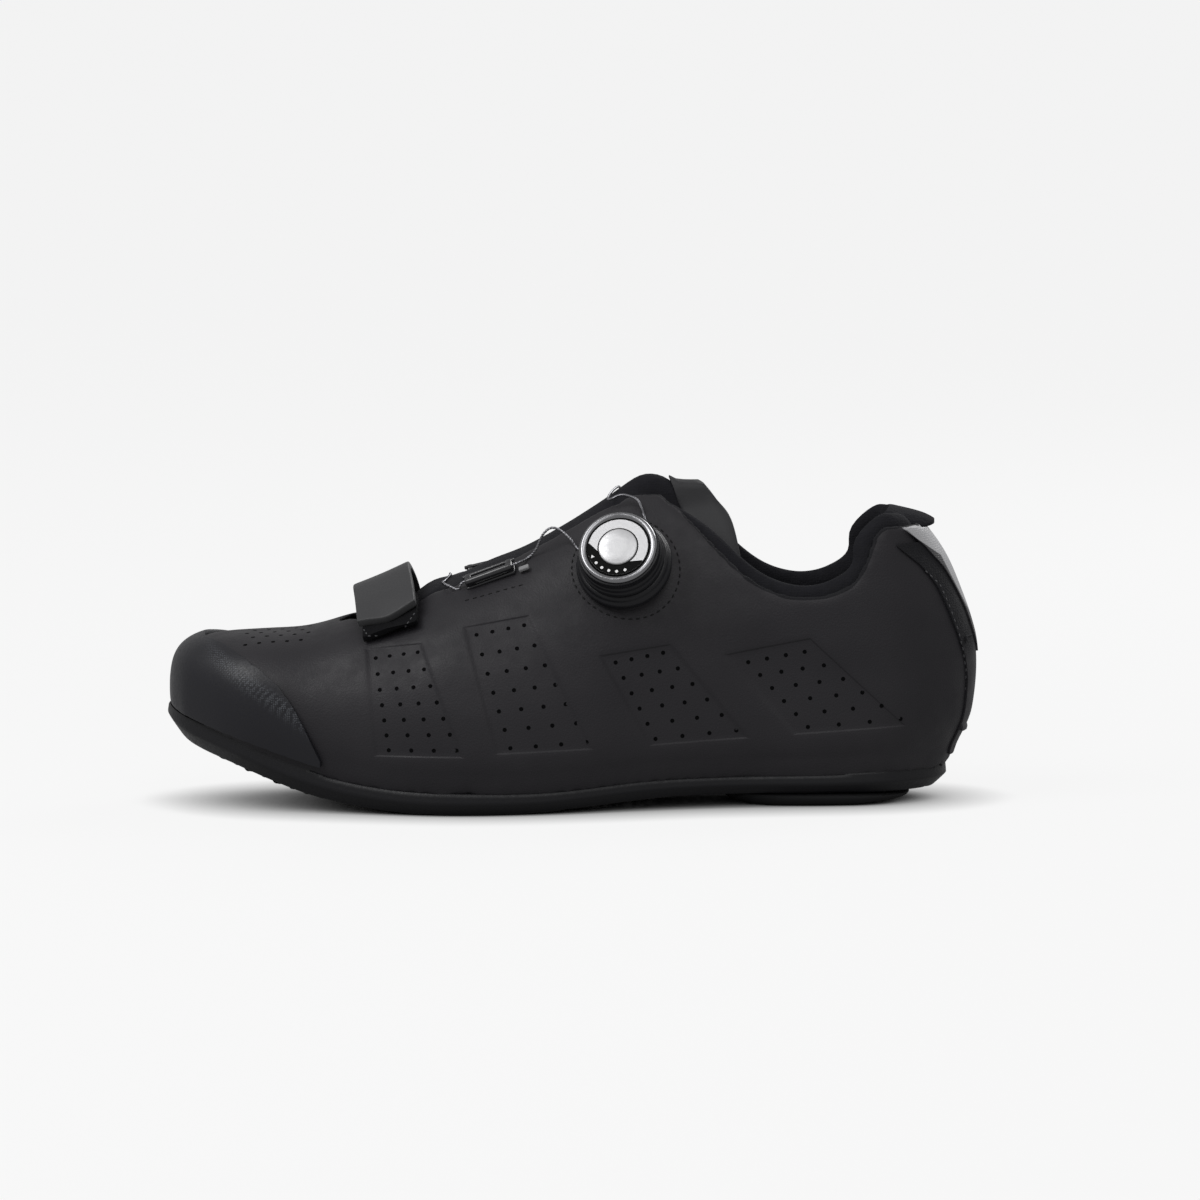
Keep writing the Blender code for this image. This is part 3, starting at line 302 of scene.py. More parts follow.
def dress(piece, finish, slot, *replaced, smooth=40):
    """Gives a finished piece its finish and shading, and its place on the shoe."""
    piece.data.materials.append(finish.material)
    only(piece)
    bpy.ops.object.shade_smooth_by_angle(angle=math.radians(smooth))
    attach(piece, "root")
    if replaced:
        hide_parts(*replaced)


def grown(distance, length):
    """0 up to a place, then in a straight line to 1 at this length past it."""
    return min(1.0, max(0.0, distance / length))


sole_finish = Finish("satin black sole", SOLE_BLACK, 0.46, specular=0.28)
speckle = sole_finish.noise(SOLE_SPECKLE, 3.0, 0.6)
sole_finish.feed("Roughness", speckle.ramp(0.3, 0.7, 0.38, 0.52))
sole_finish.bump(speckle, 0.00008)
outsole = copy_of("outsole", "moulded_outsole")
rounded_steps(outsole, sharpness=28, crease=0.55, levels=2)
for corner in outsole.data.vertices:
    corner.co.x -= TOE_REACH * grown(SOLE_TOE - corner.co.x, END_LENGTH) ** 2
    corner.co.x += HEEL_REACH * grown(corner.co.x - SOLE_HEEL, END_LENGTH) ** 2
dress(outsole, sole_finish, "sole", "outsole")

# Rubber pads
# Ribbed rubber under the toe and a worn-smooth pad under the heel, moulded into the sole. They are
# matte black, with a finer grain than the sole.
TOE_PAD_SUNK = 0.0006
rubber_finish = Finish("matte black rubber", (0.009, 0.009, 0.010), 0.78, specular=0.3)
rubber_grain = rubber_finish.noise(1600.0, 2.0)
rubber_finish.bump(rubber_grain, 0.00006)
for pad in ("toe_pad", "heel_pad"):
    tread = copy_of(pad, f"{pad}_rubber")
    rounded_steps(tread, sharpness=30, crease=0.2, levels=2)
    if pad == "toe_pad":
        tread.data.transform(Matrix.Translation((0.0, 0.0, TOE_PAD_SUNK)))
    dress(tread, rubber_finish, "rubber", pad)

# Insole
# A loose foam insole under a smooth black knit, cut to the inside of the sole.
knit_finish = Finish("black insole knit", (0.014, 0.014, 0.017), 0.9, specular=0.2)
knit_waves = {"Vector": knit_finish.place, "Scale": 420.0, "Distortion": 1.2}
knit_rows = knit_finish.node("ShaderNodeTexWave", {"bands_direction": "X"}, knit_waves)
knit_cross = knit_finish.node("ShaderNodeTexWave", {"bands_direction": "Y"}, knit_waves)
knit_finish.bump(knit_rows * knit_cross, 0.0002)
insole = copy_of("insole", "knit_insole")
rounded_steps(insole, levels=2)
dress(insole, knit_finish, "textile", "insole")

# Upper
# One bonded shell of charcoal microfibre, moulded over the last, with four panels pressed in on each
# side. Inside it is lined with black knit. The mesh is a close copy of the solid, with its flats eased
# away from the open edges, and the panels and soft dents are pressed into it afterwards.
UPPER_GRID = 0.00118
WALL = 0.002
# The easing: from where it starts beside an open edge to where it is full, and how often it is done
RIM_START = 0.001
RIM_REACH = 0.009
EASE_ROUNDS = 60
LAST_ROUNDS = 8
# The foot of the wall, below this height, goes down into the sole by this much, over this reach
FOOT_TOP = 0.045
FOOT_REACH = 0.006
FOOT_DROP = 0.0030
HEEL_FULLNESS = 0.0024
# The low part of the heel that is fuller: where it starts and is full, along X and from above
HEEL_ALONG = (0.128, 0.172)
HEEL_DOWN = (0.078, 0.050)
# The panels: how far they are pressed in, the soft width of their edges in the mesh and the crisp one in
# the bump, which is wider at their ends
PANEL_DEPTH = 0.0003
PANEL_EDGE = 0.0008
PANEL_STEP = 0.00035
PANEL_SIDE = 0.35
# The knit binding of the collar's rim: how wide it is, and behind and above which places it starts
BINDING = (0.0020, 0.0016)
BINDING_ALONG = (0.056, 0.064)
BINDING_UP = (0.048, 0.056)
CHARCOAL = (0.0128, 0.0118, 0.0146)
CHARCOAL_WORN = (0.0168, 0.0156, 0.0185)
LINING_BLACK = (0.008, 0.008, 0.010)
# Middles inside the shell, which the lining's faces look at: along the foot, in the heel and in the toe
MIDDLE_UP = 0.045
HEEL_MIDDLE = 0.14
TOE_MIDDLE = (-0.06, 0.005, 0.030)
# Corners of the pressed panels on the outer side, in X and Z: front top, rear top, rear foot, front foot
PANELS = (
    ((-0.0347, 0.0562), (-0.0159, 0.0586), (-0.0017, 0.0210), (-0.0315, 0.0210)),
    ((-0.0010, 0.0641), (0.0209, 0.0681), (0.0424, 0.0230), (0.0101, 0.0221)),
    ((0.0455, 0.0545), (0.0694, 0.0577), (0.0958, 0.0251), (0.0625, 0.0235)),
    ((0.0885, 0.0537), (0.1175, 0.0590), (0.1500, 0.0285), (0.1121, 0.0262)),
)
# Soft dents of the empty shell on the outer side: X, Z, half length along X, half height, depth
DENTS = (
    (-0.052, 0.047, 0.018, 0.010, 0.0007),
    (0.033, 0.074, 0.016, 0.008, 0.0006),
    (0.096, 0.066, 0.012, 0.010, -0.0005),
    (0.120, 0.047, 0.022, 0.010, 0.0005),
    (-0.013, 0.0745, 0.010, 0.006, -0.0020),
)
REFLECTIVE = (0.385, 0.385, 0.395)
# The reflective sheet's front edge, upper and lower: a place in X and Z, and how X falls with Z
SHEET_LINES = (
    (0.1481, 0.0970, 1.33),
    (0.1644, 0.0831, 0.50),
)
# Slight lifts of the vamp's top: the middle and the reach along X, and the rise. They grow from this height.
VAMP_UP = (0.044, 0.056)
VAMP_SWELLS = (
    (-0.0770, 0.0140, -0.0006),
    (-0.0400, 0.0120, 0.0016),
)


def corners_of(piece):
    """The piece's corners and their normals, as arrays."""
    size = len(piece.data.vertices)
    places = np.empty(size * 3)
    piece.data.vertices.foreach_get("co", places)
    normals = np.empty(size * 3)
    piece.data.vertex_normals.foreach_get("vector", normals)
    return places.reshape(-1, 3), normals.reshape(-1, 3)


def eased(field, edges, weights, rounds):
    """Moves each corner's value halfway to its neighbours' mean, by its weight, this many times."""
    size = len(field)
    count = np.bincount(edges.ravel(), minlength=size)[:, None]
    for _ in range(rounds):
        columns = []
        for axis in range(3):
            ahead = np.bincount(edges[:, 0], field[edges[:, 1], axis], size)
            back = np.bincount(edges[:, 1], field[edges[:, 0], axis], size)
            columns.append(ahead + back)
        field = field + 0.5 * weights[:, None] * (np.stack(columns, axis=1) / count - field)
    return field


def step(values, start, stop):
    """Smooth step from 0 to 1 as the values go from start to stop."""
    share = np.clip((values - start) / (stop - start), 0.0, 1.0)
    return share * share * (3 - 2 * share)


def inside_panel(places, corners, edge):
    """1 inside a four-cornered panel seen from the side, falling to 0 over this width at its edges."""
    mask = np.ones(len(places))
    for here, after in zip(corners, corners[1:] + corners[:1]):
        along = Vector((after[0] - here[0], after[1] - here[1])).normalized()
        inward = (places[:, 2] - here[1]) * -along[0] + (places[:, 0] - here[0]) * along[1]
        mask *= step(inward, -edge, edge)
    return mask


upper = copy_of("upper", "microfibre_upper")
apply_modifier(upper, "REMESH", mode="VOXEL", voxel_size=UPPER_GRID)
shell = BVHTree.FromObject(upper, bpy.context.evaluated_depsgraph_get())
places, normals = corners_of(upper)
rims = []
feet = []
for place_now, normal_now in zip(places, normals):
    start = Vector(place_now) - Vector(normal_now) * WALL * 0.15
    reached = shell.ray_cast(start, -Vector(normal_now), WALL * 3)
    if reached[0] is None or reached[3] > WALL * 1.35:
        rims.append(place_now)
        if normal_now[2] < -0.6 and place_now[2] < FOOT_TOP:
            feet.append(place_now)


def tree_of(points):
    """A tree that finds the nearest of these points."""
    tree = KDTree(len(points))
    for number, point in enumerate(points):
        tree.insert(point, number)
    tree.balance()
    return tree


rim_tree = tree_of(rims)
foot_tree = tree_of(feet)
rim_far = np.array([rim_tree.find(place_now)[2] for place_now in places])
foot_far = np.array([foot_tree.find(place_now)[2] for place_now in places])
edges = np.empty(len(upper.data.edges) * 2, dtype=np.int64)
upper.data.edges.foreach_get("vertices", edges)
edges = edges.reshape(-1, 2)
away = step(rim_far, RIM_START, RIM_START + RIM_REACH)
smooth_places = eased(places, edges, away, EASE_ROUNDS)
smooth_places += eased(places - smooth_places, edges, away, EASE_ROUNDS)
smooth_places = eased(smooth_places, edges, np.ones(len(places)), LAST_ROUNDS)
smooth_places[:, 2] -= FOOT_DROP * np.clip(1 - foot_far / FOOT_REACH, 0.0, 1.0)
heel_low = step(smooth_places[:, 0], *HEEL_ALONG) * step(smooth_places[:, 2], *HEEL_DOWN)
smooth_places[:, 0] += HEEL_FULLNESS * heel_low
upper.data.vertices.foreach_set("co", smooth_places.ravel())
edge_layer = upper.data.attributes.new("edge_far", "FLOAT", "POINT")
even_far = eased(np.stack([rim_far] * 3, axis=1), edges, np.ones(len(places)), 3)[:, 0]
edge_layer.data.foreach_set("value", even_far)
upper.data.update()
places, normals = corners_of(upper)
outside = np.sum(normals[:, 1:] * (places[:, 1:] - (0.0, MIDDLE_UP)), axis=1) > 0
sides = step(np.abs(normals[:, 1]), 0.05, 0.3)
press = np.zeros(len(places))
for panel in PANELS:
    press += PANEL_DEPTH * inside_panel(places, panel, PANEL_EDGE)
for dent_x, dent_z, half_length, half_height, depth in DENTS:
    far = ((places[:, 0] - dent_x) / half_length) ** 2 + ((places[:, 2] - dent_z) / half_height) ** 2
    press += depth * np.exp(-far * 1.5) * (places[:, 1] < 0)
places -= normals * (press * sides * outside)[:, None]
for middle, reach, rise in VAMP_SWELLS:
    high_up = np.clip((places[:, 2] - VAMP_UP[0]) / (VAMP_UP[1] - VAMP_UP[0]), 0.0, 1.0)
    places[:, 2] += rise * high_up * np.exp(-(((places[:, 0] - middle) / reach) ** 2))
upper.data.vertices.foreach_set("co", places.ravel())
upper.data.update()


def reflective_zone(finish):
    """Where the grey reflective sheet shows at the back of the heel: behind two lines in X and Z."""
    shown = []
    for line_x, line_z, slope in SHEET_LINES:
        beyond = finish.axis("X") - line_x + (finish.axis("Z") - line_z) * slope
        shown.append(beyond.ramp(0.0, 0.0004))
    return 1.0 - (1.0 - shown[0]) * (1.0 - shown[1])


upper_finish = Finish("charcoal microfibre", CHARCOAL, 0.55, specular=0.32)
grain = upper_finish.cells(1500.0)
cloud = upper_finish.noise(22.0, 3.0)
worn = upper_finish.noise(140.0, 4.0, 0.65)
back = upper_finish.axis("X")
high = upper_finish.axis("Z")
relief = grain * 0.5 + worn * 0.5
for panel in PANELS:
    inward = None
    for here, after in zip(panel, panel[1:] + panel[:1]):
        along = Vector((after[0] - here[0], after[1] - here[1])).normalized()
        edge = (high - here[1]) * -along[0] + (back - here[0]) * along[1]
        edge = edge * (PANEL_SIDE if abs(along[1]) > 0.7 else 1.0)
        inward = edge if inward is None else inward.maths("MINIMUM", edge)
    relief = relief - inward.ramp(-PANEL_STEP, PANEL_STEP) * 2.6
edge_far = upper_finish.node("ShaderNodeAttribute", {"attribute_name": "edge_far"}, output="Fac")
bound = edge_far.ramp(*BINDING) * back.ramp(*BINDING_ALONG) * high.ramp(*BINDING_UP)
bound_loops = upper_finish.cells(1150.0, randomness=0.55)
cloth = upper_finish.colours(cloud.ramp(0.35, 0.7), CHARCOAL, CHARCOAL_WORN)
sheeted = upper_finish.colours(reflective_zone(upper_finish), cloth, REFLECTIVE)
upper_finish.feed("Base Color", upper_finish.colours(bound, sheeted, LINING_BLACK))
upper_finish.feed("Roughness", worn.ramp(0.3, 0.7, 0.50, 0.62) + bound * 0.35)
upper_finish.bump(relief + bound * bound_loops * 2.0, 0.00010)
dress(upper, upper_finish, "upper_shell", "upper", smooth=80)
lining_finish = Finish("black lining knit", LINING_BLACK, 0.95, specular=0.15)
lining_rows = lining_finish.cells(900.0, randomness=0.4)
lining_finish.bump(lining_rows, 0.0003)
upper.data.materials.append(lining_finish.material)
for face in upper.data.polygons:
    centre = face.center
    to_middle = Vector((0.0, -centre.y, MIDDLE_UP - centre.z))
    if centre.x > HEEL_MIDDLE:
        to_middle = Vector((HEEL_MIDDLE - centre.x, -centre.y, 0.0))
    elif centre.x < TOE_MIDDLE[0]:
        to_middle = Vector(TOE_MIDDLE) - centre
    face.material_index = 1 if face.normal.dot(to_middle) > 0 else 0
skin = BVHTree.FromObject(upper, bpy.context.evaluated_depsgraph_get())


SKY = 0.3


def on_skin(x, z, side=-1):
    """Where a line straight across the shoe, from its outer (-1) or inner side, meets the upper."""
    hit = skin.ray_cast(Vector((x, side * SKY, z)), Vector((0.0, -side, 0.0)))
    return hit[0], hit[1]


def under_sky(x, y):
    """Where a line straight down meets the upper."""
    hit = skin.ray_cast(Vector((x, y, SKY)), Vector((0.0, 0.0, -1.0)))
    return hit[0], hit[1]


# Perforations
# Rows of small punched holes that air the shoe: seven or six rows of four in each pressed panel, on both
# sides, and a field over the toes. Each is a shallow plug painted near black as the shade inside a hole,
# with a low burnished rim.
HOLE_RADIUS = 0.00052
HOLE_RIM = 0.00022
HOLE_PLUG = 0.0006
HOLE_PROUD = 0.00004
HOLE_DEPTH = 0.00003
# Corners of each field of holes as the panels' own, then rows and columns
HOLES = (
    ((-0.0315, 0.0535), (-0.0170, 0.0558), (-0.0038, 0.0234), (-0.0270, 0.0230), 7, 4),
    ((0.0032, 0.0618), (0.0195, 0.0650), (0.0406, 0.0254), (0.0146, 0.0240), 7, 4),
    ((0.0507, 0.0522), (0.0670, 0.0550), (0.0920, 0.0277), (0.0642, 0.0256), 6, 4),
    ((0.0962, 0.0511), (0.1156, 0.0545), (0.1485, 0.0309), (0.1166, 0.0286), 6, 4),
)
# The field over the toes: its first and last corner in X and Y, then rows and columns
TOE_FIELD = ((-0.0770, -0.0160), (-0.0530, 0.0260), 5, 7)


def standing_on(place_at, normal_at, forward=Vector((1.0, 0.0, 0.0))):
    """A frame on a surface: Z along its normal, X as near as it can be to forward."""
    up = normal_at.normalized()
    ahead = (forward - up * forward.dot(up)).normalized()
    return Matrix.Translation(place_at) @ Matrix((ahead, up.cross(ahead), up)).transposed().to_4x4()


def joined(name, model, frames):
    """One mesh of copies of a small model, one at each frame. The model itself is removed."""
    work = bmesh.new()
    for spot in frames:
        part = bmesh.new()
        part.from_mesh(model.data)
        part.transform(spot)
        held = bpy.data.meshes.new(name)
        part.to_mesh(held)
        part.free()
        work.from_mesh(held)
        bpy.data.meshes.remove(held)
    mesh = bpy.data.meshes.new(name)
    work.to_mesh(mesh)
    work.free()
    piece = bpy.data.objects.new(name, mesh)
    bpy.context.scene.collection.objects.link(piece)
    bpy.data.objects.remove(model)
    return piece


hole_frames = []
for front_top, rear_top, rear_foot, front_foot, rows, columns in HOLES:
    for row in range(rows):
        for column in range(columns):
            down = row / (rows - 1)
            back = column / (columns - 1)
            upper_spot = Vector(front_top).lerp(Vector(rear_top), back)
            lower_spot = Vector(front_foot).lerp(Vector(rear_foot), back)
            x, z = upper_spot.lerp(lower_spot, down)
            for side in (-1, 1):
                place_at, normal_at = on_skin(x, z, side)
                hole_frames.append(standing_on(place_at, normal_at))
(toe_x, toe_y), (toe_end_x, toe_end_y), rows, columns = TOE_FIELD
for row in range(rows):
    for column in range(columns):
        x = toe_x + (toe_end_x - toe_x) * (row + 0.5 * (column % 2)) / rows
        y = toe_y + (toe_end_y - toe_y) * column / (columns - 1)
        hole_frames.append(standing_on(*under_sky(x, y)))
bpy.ops.object.select_all(action="DESELECT")
plug_centre = (0.0, 0.0, HOLE_PROUD - HOLE_PLUG / 2)
bpy.ops.mesh.primitive_cylinder_add(
    vertices=12, radius=HOLE_RADIUS + HOLE_RIM, depth=HOLE_PLUG, location=plug_centre
)
punched = bpy.context.object
bpy.ops.object.transform_apply(location=True, rotation=True, scale=True)
bpy.ops.object.mode_set(mode="EDIT")
bpy.ops.mesh.select_mode(type="FACE")
bpy.ops.mesh.select_all(action="DESELECT")
bpy.ops.object.mode_set(mode="OBJECT")
for face in punched.data.polygons:
    face.select = face.normal.z > 0.9
bpy.ops.object.mode_set(mode="EDIT")
bpy.ops.mesh.inset(thickness=HOLE_RIM)
bpy.ops.mesh.extrude_region_move(TRANSFORM_OT_translate={"value": (0.0, 0.0, -HOLE_DEPTH)})
bpy.ops.object.mode_set(mode="OBJECT")
perforations = joined("perforations", punched, hole_frames)
# Painted shade: the plug is near black, standing in for the dark inside of a hole
hole_shade_finish = Finish("punched hole painted shade", (0.0022, 0.0022, 0.0025), 0.95, specular=0.05)
hole_depth = hole_shade_finish.noise(2400.0)
hole_shade_finish.feed("Roughness", hole_depth.ramp(0.2, 0.8, 0.85, 1.0))
dress(perforations, hole_shade_finish, "upper_shell", smooth=20)

# Toe cap and heel panels
# A moulded blue-black cap bonded over the toe, a panel of the upper's own microfibre stitched round the
# heel, and a grey reflective sheet at the top of the heel, each laid on the upper and turned in at its edge.
CAP_BLUE = (0.0118, 0.0118, 0.0150)
# Pale speckles along the cap's rear edge: partly the cap's fine speckled texture, partly a painted highlight
CAP_SPECKLE_AND_HIGHLIGHT = (0.062, 0.066, 0.074)
# A place on the cap's rear edge, in X and Z, and how far the edge drops for each metre back
CAP_EDGE = (-0.0798, 0.0505)
CAP_SLOPE = 0.68
# Each panel's lift over the upper, and its thickness
CAP_SHEET = (0.0017, 0.0015)
COUNTER_SHEET = (0.0008, 0.0009)
PATCH_SHEET = (0.0015, 0.0007)
# The reflective sheet reaches this much higher than its solid, and starts this much behind it
PATCH_TALLER = 0.0048
PATCH_BEHIND = 0.002


def overlay(node, name, lift, thickness, taller=0.0, backward=0.0):
    """The outer sheet of a thin solid, laid closely over the dressed upper and given its thickness."""
    piece = copy_of(node, name)
    lowest = min(corner.co.z for corner in piece.data.vertices)
    height = max(corner.co.z for corner in piece.data.vertices) - lowest
    for corner in piece.data.vertices:
        corner.co.x += backward
        corner.co.z += taller * (corner.co.z - lowest) / height
    only(piece)
    bpy.ops.object.mode_set(mode="EDIT")
    bpy.ops.mesh.select_mode(type="FACE")
    bpy.ops.mesh.select_all(action="DESELECT")
    bpy.ops.object.mode_set(mode="OBJECT")
    for face in piece.data.polygons:
        near = skin.find_nearest(face.center)
        face.select = face.normal.dot(near[1]) < 0.6
    bpy.ops.object.mode_set(mode="EDIT")
    bpy.ops.mesh.delete(type="FACE")
    bpy.ops.object.mode_set(mode="OBJECT")
    apply_modifier(piece, "SUBSURF", levels=3, render_levels=3)
    wrap = {"wrap_method": "NEAREST_SURFACEPOINT", "wrap_mode": "ABOVE_SURFACE"}
    apply_modifier(piece, "SHRINKWRAP", target=upper, offset=lift, **wrap)
    apply_modifier(piece, "SMOOTH", factor=0.5, iterations=6)
    apply_modifier(piece, "SOLIDIFY", thickness=thickness, offset=-1.0)
    edge = {"segments": 2, "limit_method": "ANGLE", "angle_limit": math.radians(50)}
    apply_modifier(piece, "BEVEL", width=thickness * 0.25, **edge)
    return piece


cap_finish = Finish("moulded toe cap", CAP_BLUE, 0.42, specular=0.30)
cap_grain = cap_finish.noise(1100.0, 2.0)
cap_dots = cap_finish.cells(1500.0, randomness=0.35)
cap_x = cap_finish.axis("X")
cap_below = CAP_EDGE[1] - cap_finish.axis("Z") - (cap_x - CAP_EDGE[0]) * CAP_SLOPE
cap_zone = cap_below.ramp(-0.002, 0.001) * cap_below.ramp(0.0085, 0.0025) * cap_x.ramp(-0.094, -0.084)
# The pale speckles in the band along the rear edge, partly texture and partly painted highlight
cap_speckle_and_highlight = cap_dots.ramp(0.50, 0.30) * cap_zone
cap_finish.feed("Base Color", cap_finish.colours(cap_speckle_and_highlight, CAP_BLUE, CAP_SPECKLE_AND_HIGHLIGHT))
cap_finish.feed("Roughness", cap_grain.ramp(0.3, 0.7, 0.38, 0.48))
cap_finish.bump(cap_dots * cap_zone * 0.25 + cap_grain * 0.5, 0.00008)
toe_cap = overlay("toe_cap", "moulded_toe_cap", *CAP_SHEET)
dress(toe_cap, cap_finish, "cap", "toe_cap")
counter = overlay("heel_counter", "heel_counter_panel", *COUNTER_SHEET)
dress(counter, upper_finish, "upper_shell", "heel_counter")
patch_finish = Finish("grey reflective sheet", REFLECTIVE, 0.45, specular=0.5)
patch_weave = patch_finish.cells(1300.0, randomness=0.3)
patch_finish.feed("Base Color", patch_finish.colours(reflective_zone(patch_finish), CHARCOAL, REFLECTIVE))
patch_finish.bump(patch_weave, 0.00010)
patch = overlay(
    "heel_patch", "reflective_heel_patch", *PATCH_SHEET, taller=PATCH_TALLER, backward=PATCH_BEHIND
)
dress(patch, patch_finish, "reflective", "heel_patch")

# Tongue
# A padded tongue of black knit, sewn in under the front of the throat, with a matte coated flap over its
# upper end. Where it shows in front of the strap it is faced with the vamp's own cloth.
FLAP_START = 0.0700
FLAP_STRETCH = 1.17
FLAP_DROP = 0.0016
# Where the drop starts before the flap, and over what length it grows
DROP_BEFORE = 0.003
DROP_LENGTH = 0.005
# Soft swells of the tongue: the middle and the reach along X, and the rise
TONGUE_SWELLS = (
    (-0.0130, 0.0095, 0.0046),
    (0.0060, 0.0110, 0.0024),
    (0.0610, 0.0090, 0.0036),
)
KNIT_DARK = (0.008, 0.008, 0.010)
KNIT_PALE = (0.014, 0.014, 0.017)
# The knit starts between these places along X, behind the cloth
KNIT_STARTS = (-0.0370, -0.0350)
textile_finish = Finish("padded black knit", KNIT_DARK, 0.92, specular=0.18)
knit_part = textile_finish.axis("X").ramp(*KNIT_STARTS)
textile_loops = textile_finish.cells(1150.0, randomness=0.55)
textile_cloud = textile_finish.noise(300.0, 3.0)
textile_folds = textile_finish.noise(130.0, 2.0)
knit = textile_finish.colours(textile_cloud, KNIT_DARK, KNIT_PALE)
textile_finish.feed("Base Color", textile_finish.colours(knit_part, CHARCOAL_WORN, knit))
textile_finish.bump(textile_loops * 0.5 + textile_cloud * 0.3 + textile_folds * 2.4, 0.00030)


def hump(value, middle, reach):
    """A soft hump that is 1 at its middle and fades within this reach."""
    return math.exp(-(((value - middle) / reach) ** 2))


def drawn_back(piece):
    """Draws the tongue's top end back over the ankle and settles it, as the empty shoe holds it."""
    for corner in piece.data.vertices:
        corner.co.x += max(0.0, corner.co.x - FLAP_START) * (FLAP_STRETCH - 1)
        corner.co.z -= FLAP_DROP * grown(corner.co.x - FLAP_START + DROP_BEFORE, DROP_LENGTH)
        for middle, reach, rise in TONGUE_SWELLS:
            corner.co.z += rise * hump(corner.co.x, middle, reach)


tongue = copy_of("tongue", "padded_tongue")
rounded_steps(tongue, sharpness=60, crease=0.0, levels=2)
drawn_back(tongue)
dress(tongue, textile_finish, "textile", "tongue")
flap_finish = Finish("matte coated sheet", (0.026, 0.026, 0.028), 0.62, specular=0.3)
flap_grain = flap_finish.noise(1300.0, 2.0)
flap_finish.bump(flap_grain, 0.00006)
flap = copy_of("tongue_flap", "coated_tongue_flap")
rounded_steps(flap, sharpness=60, crease=0.7, levels=2)
drawn_back(flap)
dress(flap, flap_finish, "strap_sheet", "tongue_flap")

# Collar
# A roll of foam under black knit, sewn round the inside of the collar, higher and fuller at the heel,
# where it turns back over the rim in a free lip.
# The roll leans back this much behind the ankle: the middle and the reach of that, along X and up
COLLAR_BACK = 0.0034
COLLAR_BACK_X = (0.1300, 0.0085)
COLLAR_BACK_Z = (0.0835, 0.0060)
# It rises this much at the heel, growing behind and above these places over these lengths
LIP_RISE = 0.0020
LIP_BEHIND = (0.1440, 0.014)
LIP_ABOVE = (0.090, 0.006)
# The lip behind the heel: its root and end in X and Z, its width and sweep, and its thickness at both
LIP_ROOT = (0.1460, 0.0995)
LIP_END = (0.1617, 0.0966)
LIP_WIDTH = 0.024
LIP_SWEEP = 0.014
LIP_THICK = (0.0060, 0.0046)
collar = copy_of("collar_roll", "padded_collar")
rounded_steps(collar, sharpness=60, crease=0.0, levels=2)
for corner in collar.data.vertices:
    corner.co.x += COLLAR_BACK * hump(corner.co.z, *COLLAR_BACK_Z) * hump(corner.co.x, *COLLAR_BACK_X)
    behind = grown(corner.co.x - LIP_BEHIND[0], LIP_BEHIND[1])
    corner.co.z += LIP_RISE * behind * grown(corner.co.z - LIP_ABOVE[0], LIP_ABOVE[1])
dress(collar, textile_finish, "textile", "collar_roll")
bpy.ops.object.select_all(action="DESELECT")
bpy.ops.mesh.primitive_cube_add(size=1.0)
heel_lip = bpy.context.object
heel_lip.name = "padded_heel_lip"
bpy.ops.object.mode_set(mode="EDIT")
bpy.ops.mesh.select_all(action="SELECT")
bpy.ops.mesh.subdivide(number_cuts=5)
bpy.ops.object.mode_set(mode="OBJECT")
for corner in heel_lip.data.vertices:
    along = corner.co.x + 0.5
    across = corner.co.y * LIP_WIDTH
    rounded = (1 - 0.8 * abs(2 * corner.co.y) ** 4) * (1 - 0.6 * along ** 6)
    thick = (LIP_THICK[0] + (LIP_THICK[1] - LIP_THICK[0]) * along) * rounded
    sweep = LIP_SWEEP * (across / LIP_WIDTH) ** 2
    middle_x, middle_z = Vector(LIP_ROOT).lerp(Vector(LIP_END), along)
    corner.co.x = middle_x - sweep
    corner.co.y = across * (1.0 - 0.35 * along ** 2)
    corner.co.z = middle_z + corner.co.z * thick - sweep * 0.4
apply_modifier(heel_lip, "SUBSURF", levels=3, render_levels=3)
dress(heel_lip, textile_finish, "textile", smooth=180)

# Strap
# A hook-and-loop strap of matte coated sheet over the throat. Its free tab closes on a black loop patch
# that is stitched to the outer side.
# The loop patch is this much narrower than its solid, set forward, and its foot is raised
PATCH_SCALE = 0.88
PATCH_FORWARD = 0.0012
PATCH_RAISE = 0.0019
# The tab, beyond this place aside, has a fuller lower edge: below this level, round this place along X
TAB_ASIDE = -0.015
TAB_LEVEL = 0.0740
TAB_MIDDLE = -0.0270
TAB_REACH = 0.0055
TAB_BULGE = 0.0024
SOFT_EDGE = 0.004
strap_finish = Finish("matte strap sheet", (0.036, 0.036, 0.038), 0.55, specular=0.35)
strap_grain = strap_finish.noise(1500.0, 2.0)
strap_finish.feed("Roughness", strap_grain.ramp(0.3, 0.7, 0.48, 0.60))
strap_finish.bump(strap_grain, 0.00005)
strap = copy_of("strap", "closing_strap")
for corner in strap.data.vertices:
    if corner.co.y < TAB_ASIDE:
        drop = TAB_BULGE * grown(TAB_LEVEL - corner.co.z, SOFT_EDGE)
        drop *= hump(corner.co.x, TAB_MIDDLE, TAB_REACH)
        corner.co.z -= drop
        corner.co.y -= drop * 0.4
apply_modifier(strap, "BEVEL", width=0.0005, segments=2, limit_method="ANGLE", angle_limit=math.radians(50))
rounded_steps(strap, sharpness=60, crease=0.0, levels=2)
dress(strap, strap_finish, "strap_sheet", "strap")
loop_finish = Finish("black loop fabric", (0.006, 0.006, 0.007), 0.95, specular=0.12)
loop_pile = loop_finish.noise(1900.0, 4.0, 0.8)
loop_finish.bump(loop_pile, 0.0005)
loop_patch = copy_of("loop_patch", "loop_patch_pile")
rounded_steps(loop_patch, sharpness=60, crease=0.6, levels=2)
patch_middle = Vector(corners_of(loop_patch)[0].mean(axis=0))
for corner in loop_patch.data.vertices:
    corner.co.x = patch_middle.x - PATCH_FORWARD + (corner.co.x - patch_middle.x) * PATCH_SCALE
    corner.co.z += PATCH_RAISE * grown(patch_middle.z - corner.co.z, SOFT_EDGE)
dress(loop_patch, loop_finish, "textile", "loop_patch")

